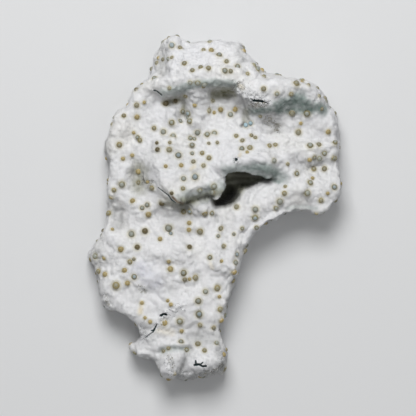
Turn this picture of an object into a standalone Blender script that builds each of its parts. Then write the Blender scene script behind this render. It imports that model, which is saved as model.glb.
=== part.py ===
"""A mineral specimen: a plate of white felted okenite with small round balls of gyrolite.

The crust is rolled into ledges round one deep hollow, and a flap stands out beside it.
Crust and balls grew together, so they are one solid. It lies on a flat cut back.

The world is in metres. Places below are in millimetres, seen from above: +Y towards the crown,
+X towards the broad side, and heights up from the cut back.
"""

import math
import random

import bpy
import bmesh
import numpy as np
from mathutils import Euler, Matrix, Vector, noise
from mathutils.bvhtree import BVHTree

MM = 0.001

# Plate
PLATE_THICK = 17.0
PLATE_SPARE = 4.0
RIM_WIDTH = 1.8
RIM_SHARE = 0.87

# Working grids and budgets
FIELD_VOXEL = 1.0
BODY_VOXEL = 0.85
CRUST_TRIANGLES = 5100
CUT_SNAP = 0.35
GROUND_CUT = Vector((200, 200, 40))

# How often each stage is smoothed
ROLL_SMOOTHING = 5
FLAP_SMOOTHING = 10
CRUST_SMOOTHING = 3

# Weathered surface: wavelength, depth of the lumps
LUMPS = [(10.0, 0.7), (4.2, 0.4)]
WALL_HOLLOWS = (8.0, 2.4)
WALL_HOLLOW_TOP = 11.0
WALL_NOISE_SHIFT = Vector((7, 3, 1))

# Balls
BALL_SINK = 0.2
ABOVE_ALL = 80.0
BALL_GAP = 0.12
BALL_CLEAR_OF_CUT = 1.2
SIDE_BALLS = 18
SIDE_BALL_RADII = (0.85, 1.05)
SIDE_BALL_HEIGHTS = (2.6, 12.0)
SIDE_BALL_START = 4.0
STEEPEST_WALL_SLOPE = 0.8
SEED = 11

# The broken edge of the plate, clockwise from the knob at the top left.
OUTLINE = [
    (-13.5, 60.3), (-12.2, 59.6), (-11.7, 58.2), (-10.7, 58.5), (-9.4, 57.0), (-7.5, 57.0),
    (-5.5, 58.0), (-1.0, 58.0), (1.0, 58.8), (3.0, 58.3), (4.8, 57.2), (8.0, 57.9),
    (10.2, 57.4), (9.8, 55.0), (10.4, 53.2), (12.4, 51.2), (14.8, 49.8), (16.4, 46.8),
    (20.0, 46.6), (25.0, 45.2), (30.0, 44.2), (35.4, 42.5), (36.8, 41.0), (38.4, 38.0),
    (39.0, 35.2), (41.6, 33.9), (42.6, 29.5), (43.3, 25.0), (43.1, 15.0), (43.5, 10.0),
    (44.2, 7.0), (43.8, 4.5), (41.5, 2.3), (39.0, 0.0), (37.3, -2.5), (35.5, -1.9),
    (31.0, -0.2), (28.5, -0.8), (25.5, -1.6), (22.0, -3.2), (18.0, -5.5), (15.5, -7.8),
    (13.0, -10.0), (10.5, -13.5), (9.3, -17.0), (8.0, -21.5), (8.0, -23.0), (6.3, -26.5),
    (5.3, -30.0), (4.7, -33.0), (3.5, -35.5), (3.2, -40.0), (1.0, -40.7), (0.5, -42.0),
    (1.5, -45.0), (2.5, -48.0), (3.9, -50.5), (4.0, -54.0), (3.2, -58.5), (2.3, -59.2),
    (-0.5, -58.2), (-2.0, -59.0), (-6.5, -60.0), (-13.0, -60.3), (-18.0, -60.4), (-19.2, -59.8),
    (-19.0, -57.0), (-19.8, -53.5), (-21.0, -53.0), (-23.5, -53.3), (-26.0, -51.8),
    (-28.0, -50.4), (-31.4, -50.0), (-29.8, -48.2), (-27.5, -47.3), (-25.8, -46.2),
    (-25.9, -45.0), (-27.0, -42.5), (-27.0, -40.6), (-29.0, -39.3), (-31.5, -37.8),
    (-35.5, -35.9), (-39.0, -35.0), (-39.6, -32.0), (-40.5, -28.0), (-42.3, -22.0),
    (-43.4, -18.0), (-44.9, -16.8), (-43.4, -14.8), (-40.8, -11.5), (-38.5, -7.6),
    (-37.2, -7.3), (-37.6, -3.0), (-36.8, 0.0), (-37.7, 3.0), (-37.7, 7.0), (-37.2, 12.0),
    (-37.5, 16.5), (-38.7, 19.0), (-39.0, 22.5), (-36.5, 25.2), (-35.8, 28.0),
    (-35.0, 31.5), (-33.8, 33.8), (-31.0, 33.8), (-29.6, 33.8), (-29.8, 37.5),
    (-28.5, 40.2), (-26.5, 43.3), (-23.5, 43.7), (-22.5, 45.0), (-21.2, 49.0),
    (-21.0, 54.5), (-19.8, 55.3), (-18.0, 58.0), (-15.5, 59.8),
]

# Swells and troughs of the plate's face: where each runs, its half width and its rise.
SWELLS = {
    "crown_slope": ([(-18, 45), (-8, 47), (2, 48), (10, 46)], 12, 7.0),
    "crown_rib": ([(-14.5, 59), (-14.5, 50)], 4, 2.0),
    "right_brow": ([(14, 41), (24, 43), (34, 40)], 7, 6.0),
    "left_shoulder": ([(-27, 38), (-33, 29)], 6, 2.0),
    "rib": ([(-5, 38), (-6, 35), (-6, 30)], 5, 2.5),
    "short_rib": ([(-15, 34), (-15, 29)], 3.5, 1.6),
    "middle_swell": ([(0, 21), (12, 20), (22, 18.5)], 8.5, 5.0),
    "right_ridge": ([(22, 18.5), (31, 20), (42, 21)], 4.5, 2.6),
    "right_lobe": ([(30, 9), (36, 6.5), (40, 6)], 8, 2.6),
    "left_bank": ([(-33, 20), (-33, 8)], 5, 1.0),
    "left_knee": ([(-28, 2), (-24, 0)], 6, 1.6),
    "arch_band": ([(30, 5), (22, 3), (15, 0), (9, -5), (6, -12), (4, -20)], 7.5, 4.5),
    "below_flap_lobe": ([(-4, 0.5)], 3.5, 2.6),
    "left_corner_lobe": ([(-36.5, -10)], 5, 2.0),
    "belly": ([(-16, -12), (-8, -17), (-6, -24)], 11, 2.0),
    "belly_lobe": ([(-20, -17), (-13, -17)], 6, 1.8),
    "left_flank": ([(-33, -13), (-28, -20), (-30, -26)], 7, 1.2),
    "lower_belly": ([(-15, -34), (-5, -35)], 8, 2.0),
    "foot_left": ([(-15.5, -55)], 5, 3.5),
    "foot_right": ([(-4, -54)], 7, 3.0),
}
TROUGHS = {
    "crown_left": ([(-21, 58), (-20.5, 47)], 5.5, -8.0),
    "below_upper_roll": ([(-20, 37), (-12, 38), (-5, 40), (3, 40)], 4.5, -2.0),
    "below_right_roll": ([(13, 33), (20, 33.5), (27, 35.5), (35, 34.5)], 5.5, -6.5),
    "grey_hollow": ([(10.5, 37), (10.5, 30.5)], 3.4, -4.5),
    "speckled_pit": ([(18.5, 29.5), (21.5, 28.5)], 4, -3.2),
    "rib_groove": ([(-11, 38), (-11, 31)], 2.4, -3.4),
    "fold_crease": ([(26, 22.8), (33, 24), (42, 25.5)], 3, -1.6),
    "right_dimple": ([(35, 16), (39, 18.5)], 3.2, -2.0),
    "left_crease": ([(-29, 31), (-29, 22)], 3, -1.2),
    "beside_flap": ([(-26.6, 15), (-26.6, 8)], 3.8, -6.5),
    "below_flap_left": ([(-23.5, 9), (-20, 6), (-17, 2)], 3.6, -3.4),
    "below_flap": ([(-17, -1), (-10, -1.5)], 5, -3.6),
    "beside_lip": ([(21, 11.5), (24, 12.5)], 3.6, -3.0),
    "left_notch": ([(-34.5, 0), (-34, -5.5)], 3.6, -4.0),
    "inner_crease": ([(0.8, -3), (1, -10)], 2.4, -1.6),
    "belly_crease": ([(-29, -28.5), (-24, -29.5), (-18, -29.5), (-13, -28), (-6, -25.5)], 4, -1.8),
    "corner_facet": ([(-43, -18), (-41, -22)], 6, -3.5),
    "neck": ([(-22, -43), (-2, -44.5)], 4, -1.2),
    "foot_crevice": ([(-10.8, -50), (-11.3, -55), (-12.7, -60)], 2.3, -7.0),
    "spike_thin": ([(-31, -50), (-24, -51)], 6, -5.0),
    "lower_left_thin": ([(-39, -33)], 4, -3.0),
    "foot_break": ([(-6, -61), (4, -58)], 4, -6.0),
    "lobe_underside": ([(23, -1), (30, 0), (36, -0.5)], 2.6, -5.0),
}

# Rolled ledges that stand clear of the face: (x, y, height, radius) along each.
ROLLS = {
    "upper_roll": [(-19.6, 42.3, 21.5, 2.4), (-15.5, 43.1, 24.2, 3.0), (-10, 45.6, 26.2, 3.2),
                   (-4, 46.9, 27.2, 3.2), (3, 46.8, 27.2, 3.2), (8, 45.5, 26, 2.8)],
    "broken_knot": [(8.9, 42, 25.5, 3.2), (11.8, 39.8, 25, 3.4), (15.5, 38.6, 24.5, 3.4)],
    "right_roll": [(14, 40.2, 25, 3.8), (20, 41.2, 26, 4.0), (26, 42.2, 25, 3.1),
                   (30, 41.4, 23.5, 3.0), (34.2, 39.4, 20.5, 3.0), (37.2, 36.6, 15.5, 2.4)],
    "hollow_lip": [(1.5, 15.8, 24.4, 2.0), (6, 16.2, 25.2, 2.4), (12, 17.4, 25.4, 2.4),
                   (17, 17.2, 24.6, 2.4), (21.5, 16.6, 22, 2.2)],
    "spike_ridge": [(-29.9, -49.7, 9, 1.0), (-25.5, -49.7, 12, 2.7), (-20.5, -48.4, 14.5, 2.6),
                    (-15.5, -48, 16, 2.4), (-12, -49, 16.5, 2.0)],
}

# The flap beside the hollow: its edge seen from above, thickness, and how it tilts up.
FLAP_EDGE = [(-23.2, 17.5), (-21, 23), (-14, 23.4), (-8, 23), (-3, 21), (2.8, 15),
             (3.8, 11), (3.6, 7), (-1.5, 4.8), (-7.5, 2.6), (-11.5, 0.9), (-14, 2.2),
             (-16.6, 4.6), (-19.6, 8), (-23.4, 12.6)]
FLAP_THICK = 7.0
FLAP_HINGE = (-9, 22, 16.5)
FLAP_TILT = math.radians(-16)

# Hollows: (x, y, height) of the middle, and the three radii.
HOLLOWS = {
    "deep_hollow": ((11.2, 9.9, 19), (8.8, 3.8, 14)),
    "deep_hollow_roof": ((10.5, 12.2, 13), (8, 4.5, 7.5)),
    "deep_hollow_foot": ((4.2, 5.0, 18), (5.2, 5.2, 15)),
    "deep_hollow_left": ((1.5, 8.5, 12), (5, 4.5, 7)),
    "recess_left": ((-16.3, 37.2, 16), (2.6, 1.5, 6)),
    "recess_left_end": ((-12.7, 38.3, 16), (2.6, 2, 7)),
    "recess_middle": ((2.8, 40.2, 17), (5.5, 2.6, 8)),
}
# Grooves that undercut a ledge, as rolls cut away.
UNDERCUTS = {
    "under_right_roll": [(14, 34.2, 17, 1.2), (20, 34.8, 17.5, 1.8), (28, 36.4, 18.5, 2.2),
                         (35, 34.8, 15.5, 1.4)],
    "under_upper_roll": [(-10, 41.2, 20, 0.9), (-4, 42.3, 21.5, 1.1), (8, 41.9, 21, 1.0)],
    "under_flap": [(-17, 2.2, 17, 1.4), (-11, 1.6, 17.5, 2.2), (-3, 4.4, 18.5, 2.4)],
    "under_spike_ridge": [(-20, -51.4, 12, 0.9), (-15, -50.8, 15, 1.0)],
}

# Gyrolite balls on the face, (x, y, radius), by region.
FACE_BALLS = {
    "crown": [
        (-15.1, 56.5, 1.0), (-1.3, 54.7, 0.9), (1.4, 53.0, 1.0), (-10.6, 50.1, 0.9),
        (-2.3, 48.3, 0.9), (3.4, 47.4, 1.0), (7.8, 49.0, 0.9), (-6.0, 43.3, 1.0),
        (-3.7, 42.8, 1.0), (14.8, 48.2, 1.0),
    ],
    "right_brow": [
        (16.9, 41.1, 0.9), (21.4, 39.1, 0.9), (28.3, 43.0, 1.1), (26.9, 32.9, 1.1),
        (32.2, 32.8, 1.2),
    ],
    "upper_left": [
        (-17.3, 36.4, 1.1), (-27.4, 35.6, 0.9), (-27.3, 31.5, 0.9), (-2.2, 33.7, 0.9),
        (2.0, 34.1, 0.9), (7.0, 34.2, 0.9), (5.4, 32.4, 0.9), (-9.2, 32.8, 1.0),
        (-8.8, 30.0, 1.0), (-15.1, 29.5, 1.0), (-18.0, 26.3, 1.0), (-14.7, 24.7, 1.0),
        (-33.5, 21.8, 1.0),
    ],
    "middle": [
        (-6.1, 26.1, 1.0), (-2.7, 25.3, 1.0), (-0.2, 25.7, 1.0), (-8.0, 21.6, 0.9),
        (10.9, 28.7, 0.9), (12.2, 20.6, 1.0), (9.4, 20.3, 0.9),
    ],
    "right": [
        (29.2, 26.2, 1.0), (39.6, 26.3, 0.9), (33.2, 21.4, 1.1), (36.3, 21.7, 0.9),
        (42.0, 22.5, 0.9), (36.5, 17.0, 0.9), (38.2, 18.8, 0.9), (34.6, 13.2, 0.9),
        (38.3, 13.4, 0.9), (28.5, 11.7, 0.9), (33.2, 8.4, 1.0), (32.2, 4.9, 1.1),
        (41.7, 7.0, 1.0), (37.0, 2.4, 0.9), (24.2, 4.8, 0.9), (22.6, 1.9, 1.1),
        (14.1, -0.8, 1.0), (14.0, -3.6, 1.1), (7.6, 0.0, 0.9),
    ],
    "flap": [
        (-20.0, 20.0, 0.9), (-16.0, 20.0, 1.0), (-12.8, 18.0, 1.1), (-2.1, 17.1, 0.9),
        (-6.9, 10.5, 1.1), (-11.0, 9.9, 0.9), (-0.4, 7.2, 1.0),
    ],
    "left": [
        (-26.8, 12.4, 0.9), (-32.6, 8.0, 1.1), (-28.8, 2.1, 0.9), (-18.6, 1.3, 1.0),
        (-23.7, 0.7, 0.9), (-23.3, -2.6, 1.0), (-11.0, -1.7, 0.9), (-8.6, -1.4, 1.0),
        (-3.6, -2.2, 1.0),
    ],
    "belly": [
        (-5.2, -8.5, 1.1), (-24.5, -8.4, 1.1), (-29.2, -9.5, 1.1), (-16.2, -7.4, 1.1),
        (-8.9, -14.0, 0.9), (-27.2, -14.1, 1.0), (-32.9, -14.8, 1.0), (-29.7, -19.2, 0.9),
        (2.1, -7.6, 0.9), (-1.8, -17.6, 0.9), (-41.2, -17.3, 0.9),
    ],
    "lower": [
        (-15.6, -21.7, 1.0), (-31.6, -22.2, 0.9), (-38.5, -23.6, 0.9), (-28.3, -24.4, 1.0),
        (-30.7, -26.7, 0.9), (-34.6, -27.5, 1.3), (-10.9, -23.1, 1.1), (-6.9, -24.7, 1.0),
        (0.7, -28.3, 1.1), (-3.4, -29.6, 0.9), (-5.8, -32.9, 1.1), (-5.6, -37.5, 1.2),
        (1.7, -35.8, 1.0), (-12.3, -40.0, 1.1), (-17.6, -40.6, 1.0), (-11.9, -47.2, 0.9),
        (-6.0, -48.0, 1.0),
    ],
}


def clear_scene():
    for obj in list(bpy.data.objects):
        bpy.data.objects.remove(obj, do_unlink=True)


def new_collection(name, hidden=False):
    collection = bpy.data.collections.new(name)
    bpy.context.scene.collection.children.link(collection)
    collection.hide_render = hidden
    return collection


def new_object(name, data, collection):
    obj = bpy.data.objects.new(name, data)
    collection.objects.link(obj)
    return obj


def baked(obj):
    """A mesh object with obj's modifiers, curve and place turned into plain vertices. obj is removed."""
    bpy.context.view_layer.update()
    graph = bpy.context.evaluated_depsgraph_get()
    mesh = bpy.data.meshes.new_from_object(obj.evaluated_get(graph))
    mesh.transform(obj.matrix_world)
    name, collection = obj.name, obj.users_collection[0]
    bpy.data.objects.remove(obj, do_unlink=True)
    build = bmesh.new()
    build.from_mesh(mesh)
    bmesh.ops.remove_doubles(build, verts=build.verts, dist=0.001 * MM)
    bmesh.ops.recalc_face_normals(build, faces=build.faces)
    build.to_mesh(mesh)
    build.free()
    return new_object(name, mesh, collection)


def joined(name, objects, collection):
    """One mesh object that holds all the meshes. The objects are removed."""
    build = bmesh.new()
    for obj in objects:
        build.from_mesh(obj.data)
        bpy.data.objects.remove(obj, do_unlink=True)
    mesh = bpy.data.meshes.new(name)
    build.to_mesh(mesh)
    build.free()
    return new_object(name, mesh, collection)


def remeshed(obj, voxel):
    """obj as one closed skin, with overlapping pieces fused."""
    remesh = obj.modifiers.new("fuse", "REMESH")
    remesh.mode = "VOXEL"
    remesh.voxel_size = voxel * MM
    remesh.adaptivity = 0.0
    return baked(obj)


def positions(obj):
    """The vertices in millimetres, one row each."""
    flat = np.empty(len(obj.data.vertices) * 3)
    obj.data.vertices.foreach_get("co", flat)
    return flat.reshape(-1, 3) / MM


def set_positions(obj, points):
    obj.data.vertices.foreach_set("co", (points * MM).ravel())
    obj.data.update()


def distance_to_line(points, line, closed=False):
    """Distance in plan from each point to a line through the given places."""
    line = np.array(line, float)
    ends = np.roll(line, -1, axis=0) if closed else line[1:]
    starts = line if closed else line[:-1]
    if len(line) == 1:
        starts, ends = line, line
    nearest = np.full(len(points), np.inf)
    for start, end in zip(starts, ends):
        along = end - start
        share = ((points - start) @ along) / max(along @ along, 1e-9)
        foot = start + np.clip(share, 0, 1)[:, None] * along
        nearest = np.minimum(nearest, np.hypot(*(points - foot).T))
    return nearest


def face_height(plan):
    """Height of the plate's face over each place in plan, lower towards the broken edge."""
    height = np.full(len(plan), PLATE_THICK)
    for line, half_width, rise in [*SWELLS.values(), *TROUGHS.values()]:
        reach = np.clip(distance_to_line(plan, line) / half_width, 0, 1)
        height += rise * (1 - reach**2) ** 2
    from_edge = distance_to_line(plan, OUTLINE, closed=True)
    rounding = np.sin(np.clip(from_edge / RIM_WIDTH, 0, 1) * math.pi / 2)
    return height * (RIM_SHARE + (1 - RIM_SHARE) * rounding)


def make_plate(collection):
    """The outline extruded, then its upper face raised to the swells and troughs."""
    curve = bpy.data.curves.new("plate", "CURVE")
    curve.dimensions = "2D"
    curve.fill_mode = "BOTH"
    curve.extrude = (PLATE_THICK + PLATE_SPARE) / 2 * MM
    spline = curve.splines.new("POLY")
    spline.points.add(len(OUTLINE) - 1)
    for point, (x, y) in zip(spline.points, OUTLINE):
        point.co = (x * MM, y * MM, 0, 1)
    spline.use_cyclic_u = True
    plate = new_object("plate", curve, collection)
    plate.location.z = (PLATE_THICK - PLATE_SPARE) / 2 * MM
    plate = remeshed(baked(plate), FIELD_VOXEL)
    points = positions(plate)
    share = np.clip(points[:, 2] / PLATE_THICK, 0, 1)
    raised = share * face_height(points[:, :2])
    points[:, 2] = np.where(points[:, 2] > 0, raised, points[:, 2])
    set_positions(plate, points)
    return plate


def make_roll(name, stations, collection):
    """A round ledge: a smooth tube through the stations, with a dome at each end."""
    curve = bpy.data.curves.new(name, "CURVE")
    curve.dimensions = "3D"
    curve.bevel_depth = MM
    curve.bevel_resolution = 3
    curve.resolution_u = 6
    curve.use_fill_caps = True
    spline = curve.splines.new("BEZIER")
    spline.bezier_points.add(len(stations) - 1)
    for point, (x, y, z, radius) in zip(spline.bezier_points, stations):
        point.co = Vector((x, y, z)) * MM
        point.radius = radius
        point.handle_left_type = point.handle_right_type = "AUTO"
    pieces = [baked(new_object(name, curve, collection))]
    for x, y, z, radius in (stations[0], stations[-1]):
        pieces.append(make_lump(name + "_end", (x, y, z), (radius,) * 3, collection))
    return joined(name, pieces, collection)


def make_lump(name, middle, radii, collection):
    """An ellipsoid, for a round end or a hollow."""
    mesh = bpy.data.meshes.new(name)
    build = bmesh.new()
    bmesh.ops.create_icosphere(build, subdivisions=3, radius=1)
    bmesh.ops.transform(build, matrix=Matrix.Diagonal((*radii, 1)), verts=build.verts)
    bmesh.ops.transform(build, matrix=Matrix.Translation(middle), verts=build.verts)
    bmesh.ops.scale(build, vec=(MM, MM, MM), verts=build.verts)
    build.to_mesh(mesh)
    build.free()
    return new_object(name, mesh, collection)


def make_flap(collection):
    """The flap: its outline extruded, then tilted so that the lower edge stands clear."""
    curve = bpy.data.curves.new("flap", "CURVE")
    curve.dimensions = "2D"
    curve.fill_mode = "BOTH"
    curve.extrude = FLAP_THICK / 2 * MM
    spline = curve.splines.new("POLY")
    spline.points.add(len(FLAP_EDGE) - 1)
    hinge_x, hinge_y, hinge_z = FLAP_HINGE
    for point, (x, y) in zip(spline.points, FLAP_EDGE):
        point.co = ((x - hinge_x) * MM, (y - hinge_y) / math.cos(FLAP_TILT) * MM, 0, 1)
    spline.use_cyclic_u = True
    flap = new_object("flap", curve, collection)
    flap.location = Vector(FLAP_HINGE) * MM
    flap.rotation_euler = Euler((FLAP_TILT, 0, 0))
    return baked(flap)


def carve(body, cutters):
    """Cuts the joined cutters out of body."""
    cutters.display_type = "WIRE"
    cutters.hide_render = True
    cut = body.modifiers.new("carve", "BOOLEAN")
    cut.operation = "DIFFERENCE"
    cut.solver = "EXACT"
    cut.object = cutters
    return baked(body)


def smooth(obj, repeats):
    soften = obj.modifiers.new("soften", "SMOOTH")
    soften.factor = 0.5
    soften.iterations = repeats
    return baked(obj)


def weather(obj):
    """Gentle lumps on every face, and shallow hollows bitten into the side walls."""
    points = positions(obj)
    normals = np.empty(len(points) * 3)
    obj.data.vertices.foreach_get("normal", normals)
    normals = normals.reshape(-1, 3)
    wall_length, wall_depth = WALL_HOLLOWS
    for i, point in enumerate(points):
        place = Vector(point)
        push = sum(depth * noise.noise(place / length) for length, depth in LUMPS)
        low = min(max(1 - point[2] / WALL_HOLLOW_TOP, 0.0), 1.0)
        bite = max(0.0, noise.noise(place / wall_length + WALL_NOISE_SHIFT))
        points[i] = point + normals[i] * (push - wall_depth * low * bite)
    set_positions(obj, points)
    return obj


def cut_flat(obj, collection):
    """Takes away everything under height 0, which leaves the flat back."""
    mesh = bpy.data.meshes.new("ground_cut")
    build = bmesh.new()
    bmesh.ops.create_cube(build, size=1)
    bmesh.ops.scale(build, vec=GROUND_CUT * MM, verts=build.verts)
    bmesh.ops.translate(build, vec=Vector((0, 0, -GROUND_CUT.z / 2)) * MM, verts=build.verts)
    build.to_mesh(mesh)
    build.free()
    return carve(obj, new_object("ground_cut", mesh, collection))


def thin(obj, triangles):
    """Fewer, larger facets, with the back kept exactly flat."""
    obj.data.calc_loop_triangles()
    decimate = obj.modifiers.new("thin", "DECIMATE")
    decimate.ratio = triangles / len(obj.data.loop_triangles)
    decimate.use_collapse_triangulate = True
    obj = baked(obj)
    points = positions(obj)
    points[np.abs(points[:, 2]) < CUT_SNAP, 2] = 0.0
    set_positions(obj, points)
    return obj


def make_crust(helpers):
    """The okenite without its balls."""
    plate = make_plate(helpers)
    rolls = [make_roll(name, stations, helpers) for name, stations in ROLLS.items()]
    crust = remeshed(joined("crust", [plate, *rolls], helpers), BODY_VOXEL)
    crust = smooth(crust, ROLL_SMOOTHING)
    cutters = [make_lump(name, *sizes, helpers) for name, sizes in HOLLOWS.items()]
    cutters += [make_roll(name, stations, helpers) for name, stations in UNDERCUTS.items()]
    crust = carve(crust, remeshed(joined("hollows", cutters, helpers), BODY_VOXEL))
    flap = smooth(remeshed(make_flap(helpers), BODY_VOXEL), FLAP_SMOOTHING)
    crust = remeshed(joined("crust", [crust, flap], helpers), BODY_VOXEL)
    crust = weather(smooth(crust, CRUST_SMOOTHING))
    return thin(cut_flat(crust, helpers), CRUST_TRIANGLES)


def ball_on(tree, start, towards, radius):
    """(middle, outward direction, radius) of a ball where a ray first meets the crust, or None."""
    place, normal, _, _ = tree.ray_cast(Vector(start) * MM, Vector(towards))
    if place is None:
        return None
    place = place / MM
    return place - normal * radius * BALL_SINK, normal, radius


def clear_of(ball, others):
    """Whether a ball keeps a gap to the others and stays above the cut back."""
    middle, _, radius = ball
    if middle.z - radius < BALL_CLEAR_OF_CUT:
        return False
    return all((middle - place).length > radius + other + BALL_GAP for place, _, other in others)


def place_balls(crust):
    """The balls seen on the face, then others strewn round the side walls."""
    build = bmesh.new()
    build.from_mesh(crust.data)
    tree = BVHTree.FromBMesh(build)
    build.free()
    balls = []
    for region in FACE_BALLS.values():
        for x, y, radius in region:
            ball = ball_on(tree, (x, y, ABOVE_ALL), (0, 0, -1), radius)
            if ball and clear_of(ball, balls):
                balls.append(ball)
    draw = random.Random(SEED)
    edges = list(zip(OUTLINE, OUTLINE[1:] + OUTLINE[:1]))
    lengths = [math.dist(start, end) for start, end in edges]
    wanted = len(balls) + SIDE_BALLS
    while len(balls) < wanted:
        start, end = draw.choices(edges, lengths)[0]
        place = Vector(start).lerp(Vector(end), draw.random())
        outward = Vector((start[1] - end[1], end[0] - start[0])).normalized()
        height = draw.uniform(*SIDE_BALL_HEIGHTS)
        radius = draw.uniform(*SIDE_BALL_RADII)
        beside = place + SIDE_BALL_START * outward
        ball = ball_on(tree, (*beside, height), (*-outward, 0), radius)
        if ball and abs(ball[1].z) < STEEPEST_WALL_SLOPE and clear_of(ball, balls):
            balls.append(ball)
    return balls


def make_balls(balls, collection):
    """All the balls as one mesh of separate facetted beads, each with a corner facing outwards."""
    build = bmesh.new()
    for middle, outward, radius in balls:
        turn = outward.to_track_quat("Z", "Y").to_matrix().to_4x4()
        place = Matrix.Translation(middle * MM) @ turn
        bmesh.ops.create_icosphere(build, subdivisions=1, radius=radius * MM, matrix=place)
    mesh = bpy.data.meshes.new("balls")
    build.to_mesh(mesh)
    build.free()
    beads = new_object("balls", mesh, collection)
    beads.display_type = "WIRE"
    beads.hide_render = True
    return beads


def felt_material():
    """White felted okenite."""
    material = bpy.data.materials.new("okenite_felt")
    material.use_nodes = True
    shader = material.node_tree.nodes["Principled BSDF"]
    shader.inputs["Base Color"].default_value = (0.8, 0.8, 0.79, 1)
    shader.inputs["Roughness"].default_value = 0.9
    shader.inputs["Metallic"].default_value = 0.0
    return material


def main():
    clear_scene()
    specimen = new_collection("okenite_specimen")
    helpers = new_collection("helpers", hidden=True)
    crust = make_crust(helpers)
    beads = make_balls(place_balls(crust), helpers)
    plate = new_object("okenite_plate", crust.data, specimen)
    bpy.data.objects.remove(crust, do_unlink=True)
    fuse = plate.modifiers.new("fuse_balls", "BOOLEAN")
    fuse.operation = "UNION"
    fuse.solver = "EXACT"
    fuse.object = beads
    plate.data.materials.clear()
    plate.data.materials.append(felt_material())


main()
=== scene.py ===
"""A plate of white felted okenite with gyrolite balls, on a pale floor, seen from straight above.

Sizes and places are in millimetres until a mesh is made. +Y is towards the crown of the plate,
+X towards its broad side, and heights are up from the cut back.
"""

import math

import bmesh
import bpy
import numpy as np
from mathutils import Euler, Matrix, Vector
from mathutils.bvhtree import BVHTree
from mathutils.kdtree import KDTree


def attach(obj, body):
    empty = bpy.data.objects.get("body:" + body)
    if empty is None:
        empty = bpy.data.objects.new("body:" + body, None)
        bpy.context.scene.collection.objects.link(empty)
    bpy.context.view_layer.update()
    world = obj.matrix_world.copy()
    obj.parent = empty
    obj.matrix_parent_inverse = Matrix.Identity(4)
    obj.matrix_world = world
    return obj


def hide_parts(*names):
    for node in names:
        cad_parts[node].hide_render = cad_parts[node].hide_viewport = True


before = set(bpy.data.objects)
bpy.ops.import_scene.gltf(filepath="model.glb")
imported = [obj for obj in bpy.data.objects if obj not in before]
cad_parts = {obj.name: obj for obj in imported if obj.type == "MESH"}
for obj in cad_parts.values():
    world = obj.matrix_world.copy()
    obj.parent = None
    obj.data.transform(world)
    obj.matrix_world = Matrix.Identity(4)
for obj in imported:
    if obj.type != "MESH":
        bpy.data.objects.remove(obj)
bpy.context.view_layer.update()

MM = 0.001
TINY = 1e-9
SEED = 23
CAD_NODE = "okenite_plate"
TINT = "tint"
DOWN = Vector((0, 0, -1))
ABOVE_ALL = 80

# Crust
WELD = 0.001
BACK_LAYER = 0.01
BACK_DROP = 3.0
VOXEL = 0.5
FACET_SMOOTHING = 14
SEAM_SMOOTHING = 5
SOFTENING = 0.5
HIGHEST = 31.0

# How the solid's fused balls are known: each is an icosahedron with its faces cut finer.
CORNER_EDGES = 5
EDGE_SPREAD = 0.01
ICOSAHEDRON_EDGE = 1.0515
ICOSAHEDRON_RISE = 0.5528
RISE_SPREAD = 0.02
SAME_BALL = 0.05
ON_BALL = 1.01

# Lumps come from lattices of random values that lie askew in space and repeat far apart.
LATTICE_SIZE = 64
LATTICE_START = 31.7
LATTICE_TURNS = ((0.7, 0.4, 1.1), (2.1, 1.3, 0.3))

# Lumps of the felt: wavelength, depth
SWELLS = [(7.0, 0.55), (3.6, 0.4)]
TUFTS = [(2.5, 0.42), (1.3, 0.2)]
TUFT_SHIFT = 5.3
TUFT_CREASE = 0.012
TUFT_LEVEL = 0.8
BREAK_LEVEL = 0.35

# Other lumps by use: strength, wavelength, shift to a stretch of their own
USES = {
    "relief_edge": (0.3, 2.0, 2.1),
    "cells": (0.7, 0.9, 8.8),
    "fine_cells": (0.42, 0.5, 1.4),
    "break_edge": (0.4, 1.6, 4.4),
    "crack_edge": (0.3, 0.55, 3.3),
    "cream": (1.4, 9.0, 1.7),
    "lavender": (1.4, 11.0, 6.1),
    "tone": (0.02, 2.2, 9.2),
    "stain_and_shade_edge": (0.28, 2.6, 7.7),
    "fine_stain_and_shade_edge": (0.14, 1.1, 0.6),
    "mottle": (0.3, 1.4, 4.9),
    "fine_mottle": (0.3, 0.6, 2.2),
    "speckles": (4, 0.6, 2.9),
    "comb_x": (0.7, 1.7, 0.1),
    "comb_y": (0.7, 1.7, 4.2),
    "comb_z": (0.7, 1.7, 9.9),
    "nap_length": (0.35, 2.4, 3.9),
    "ball_shape": (0.035, 0.8, 0),
    "ball_ring": (0.1, 1.0, 0),
}

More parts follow.
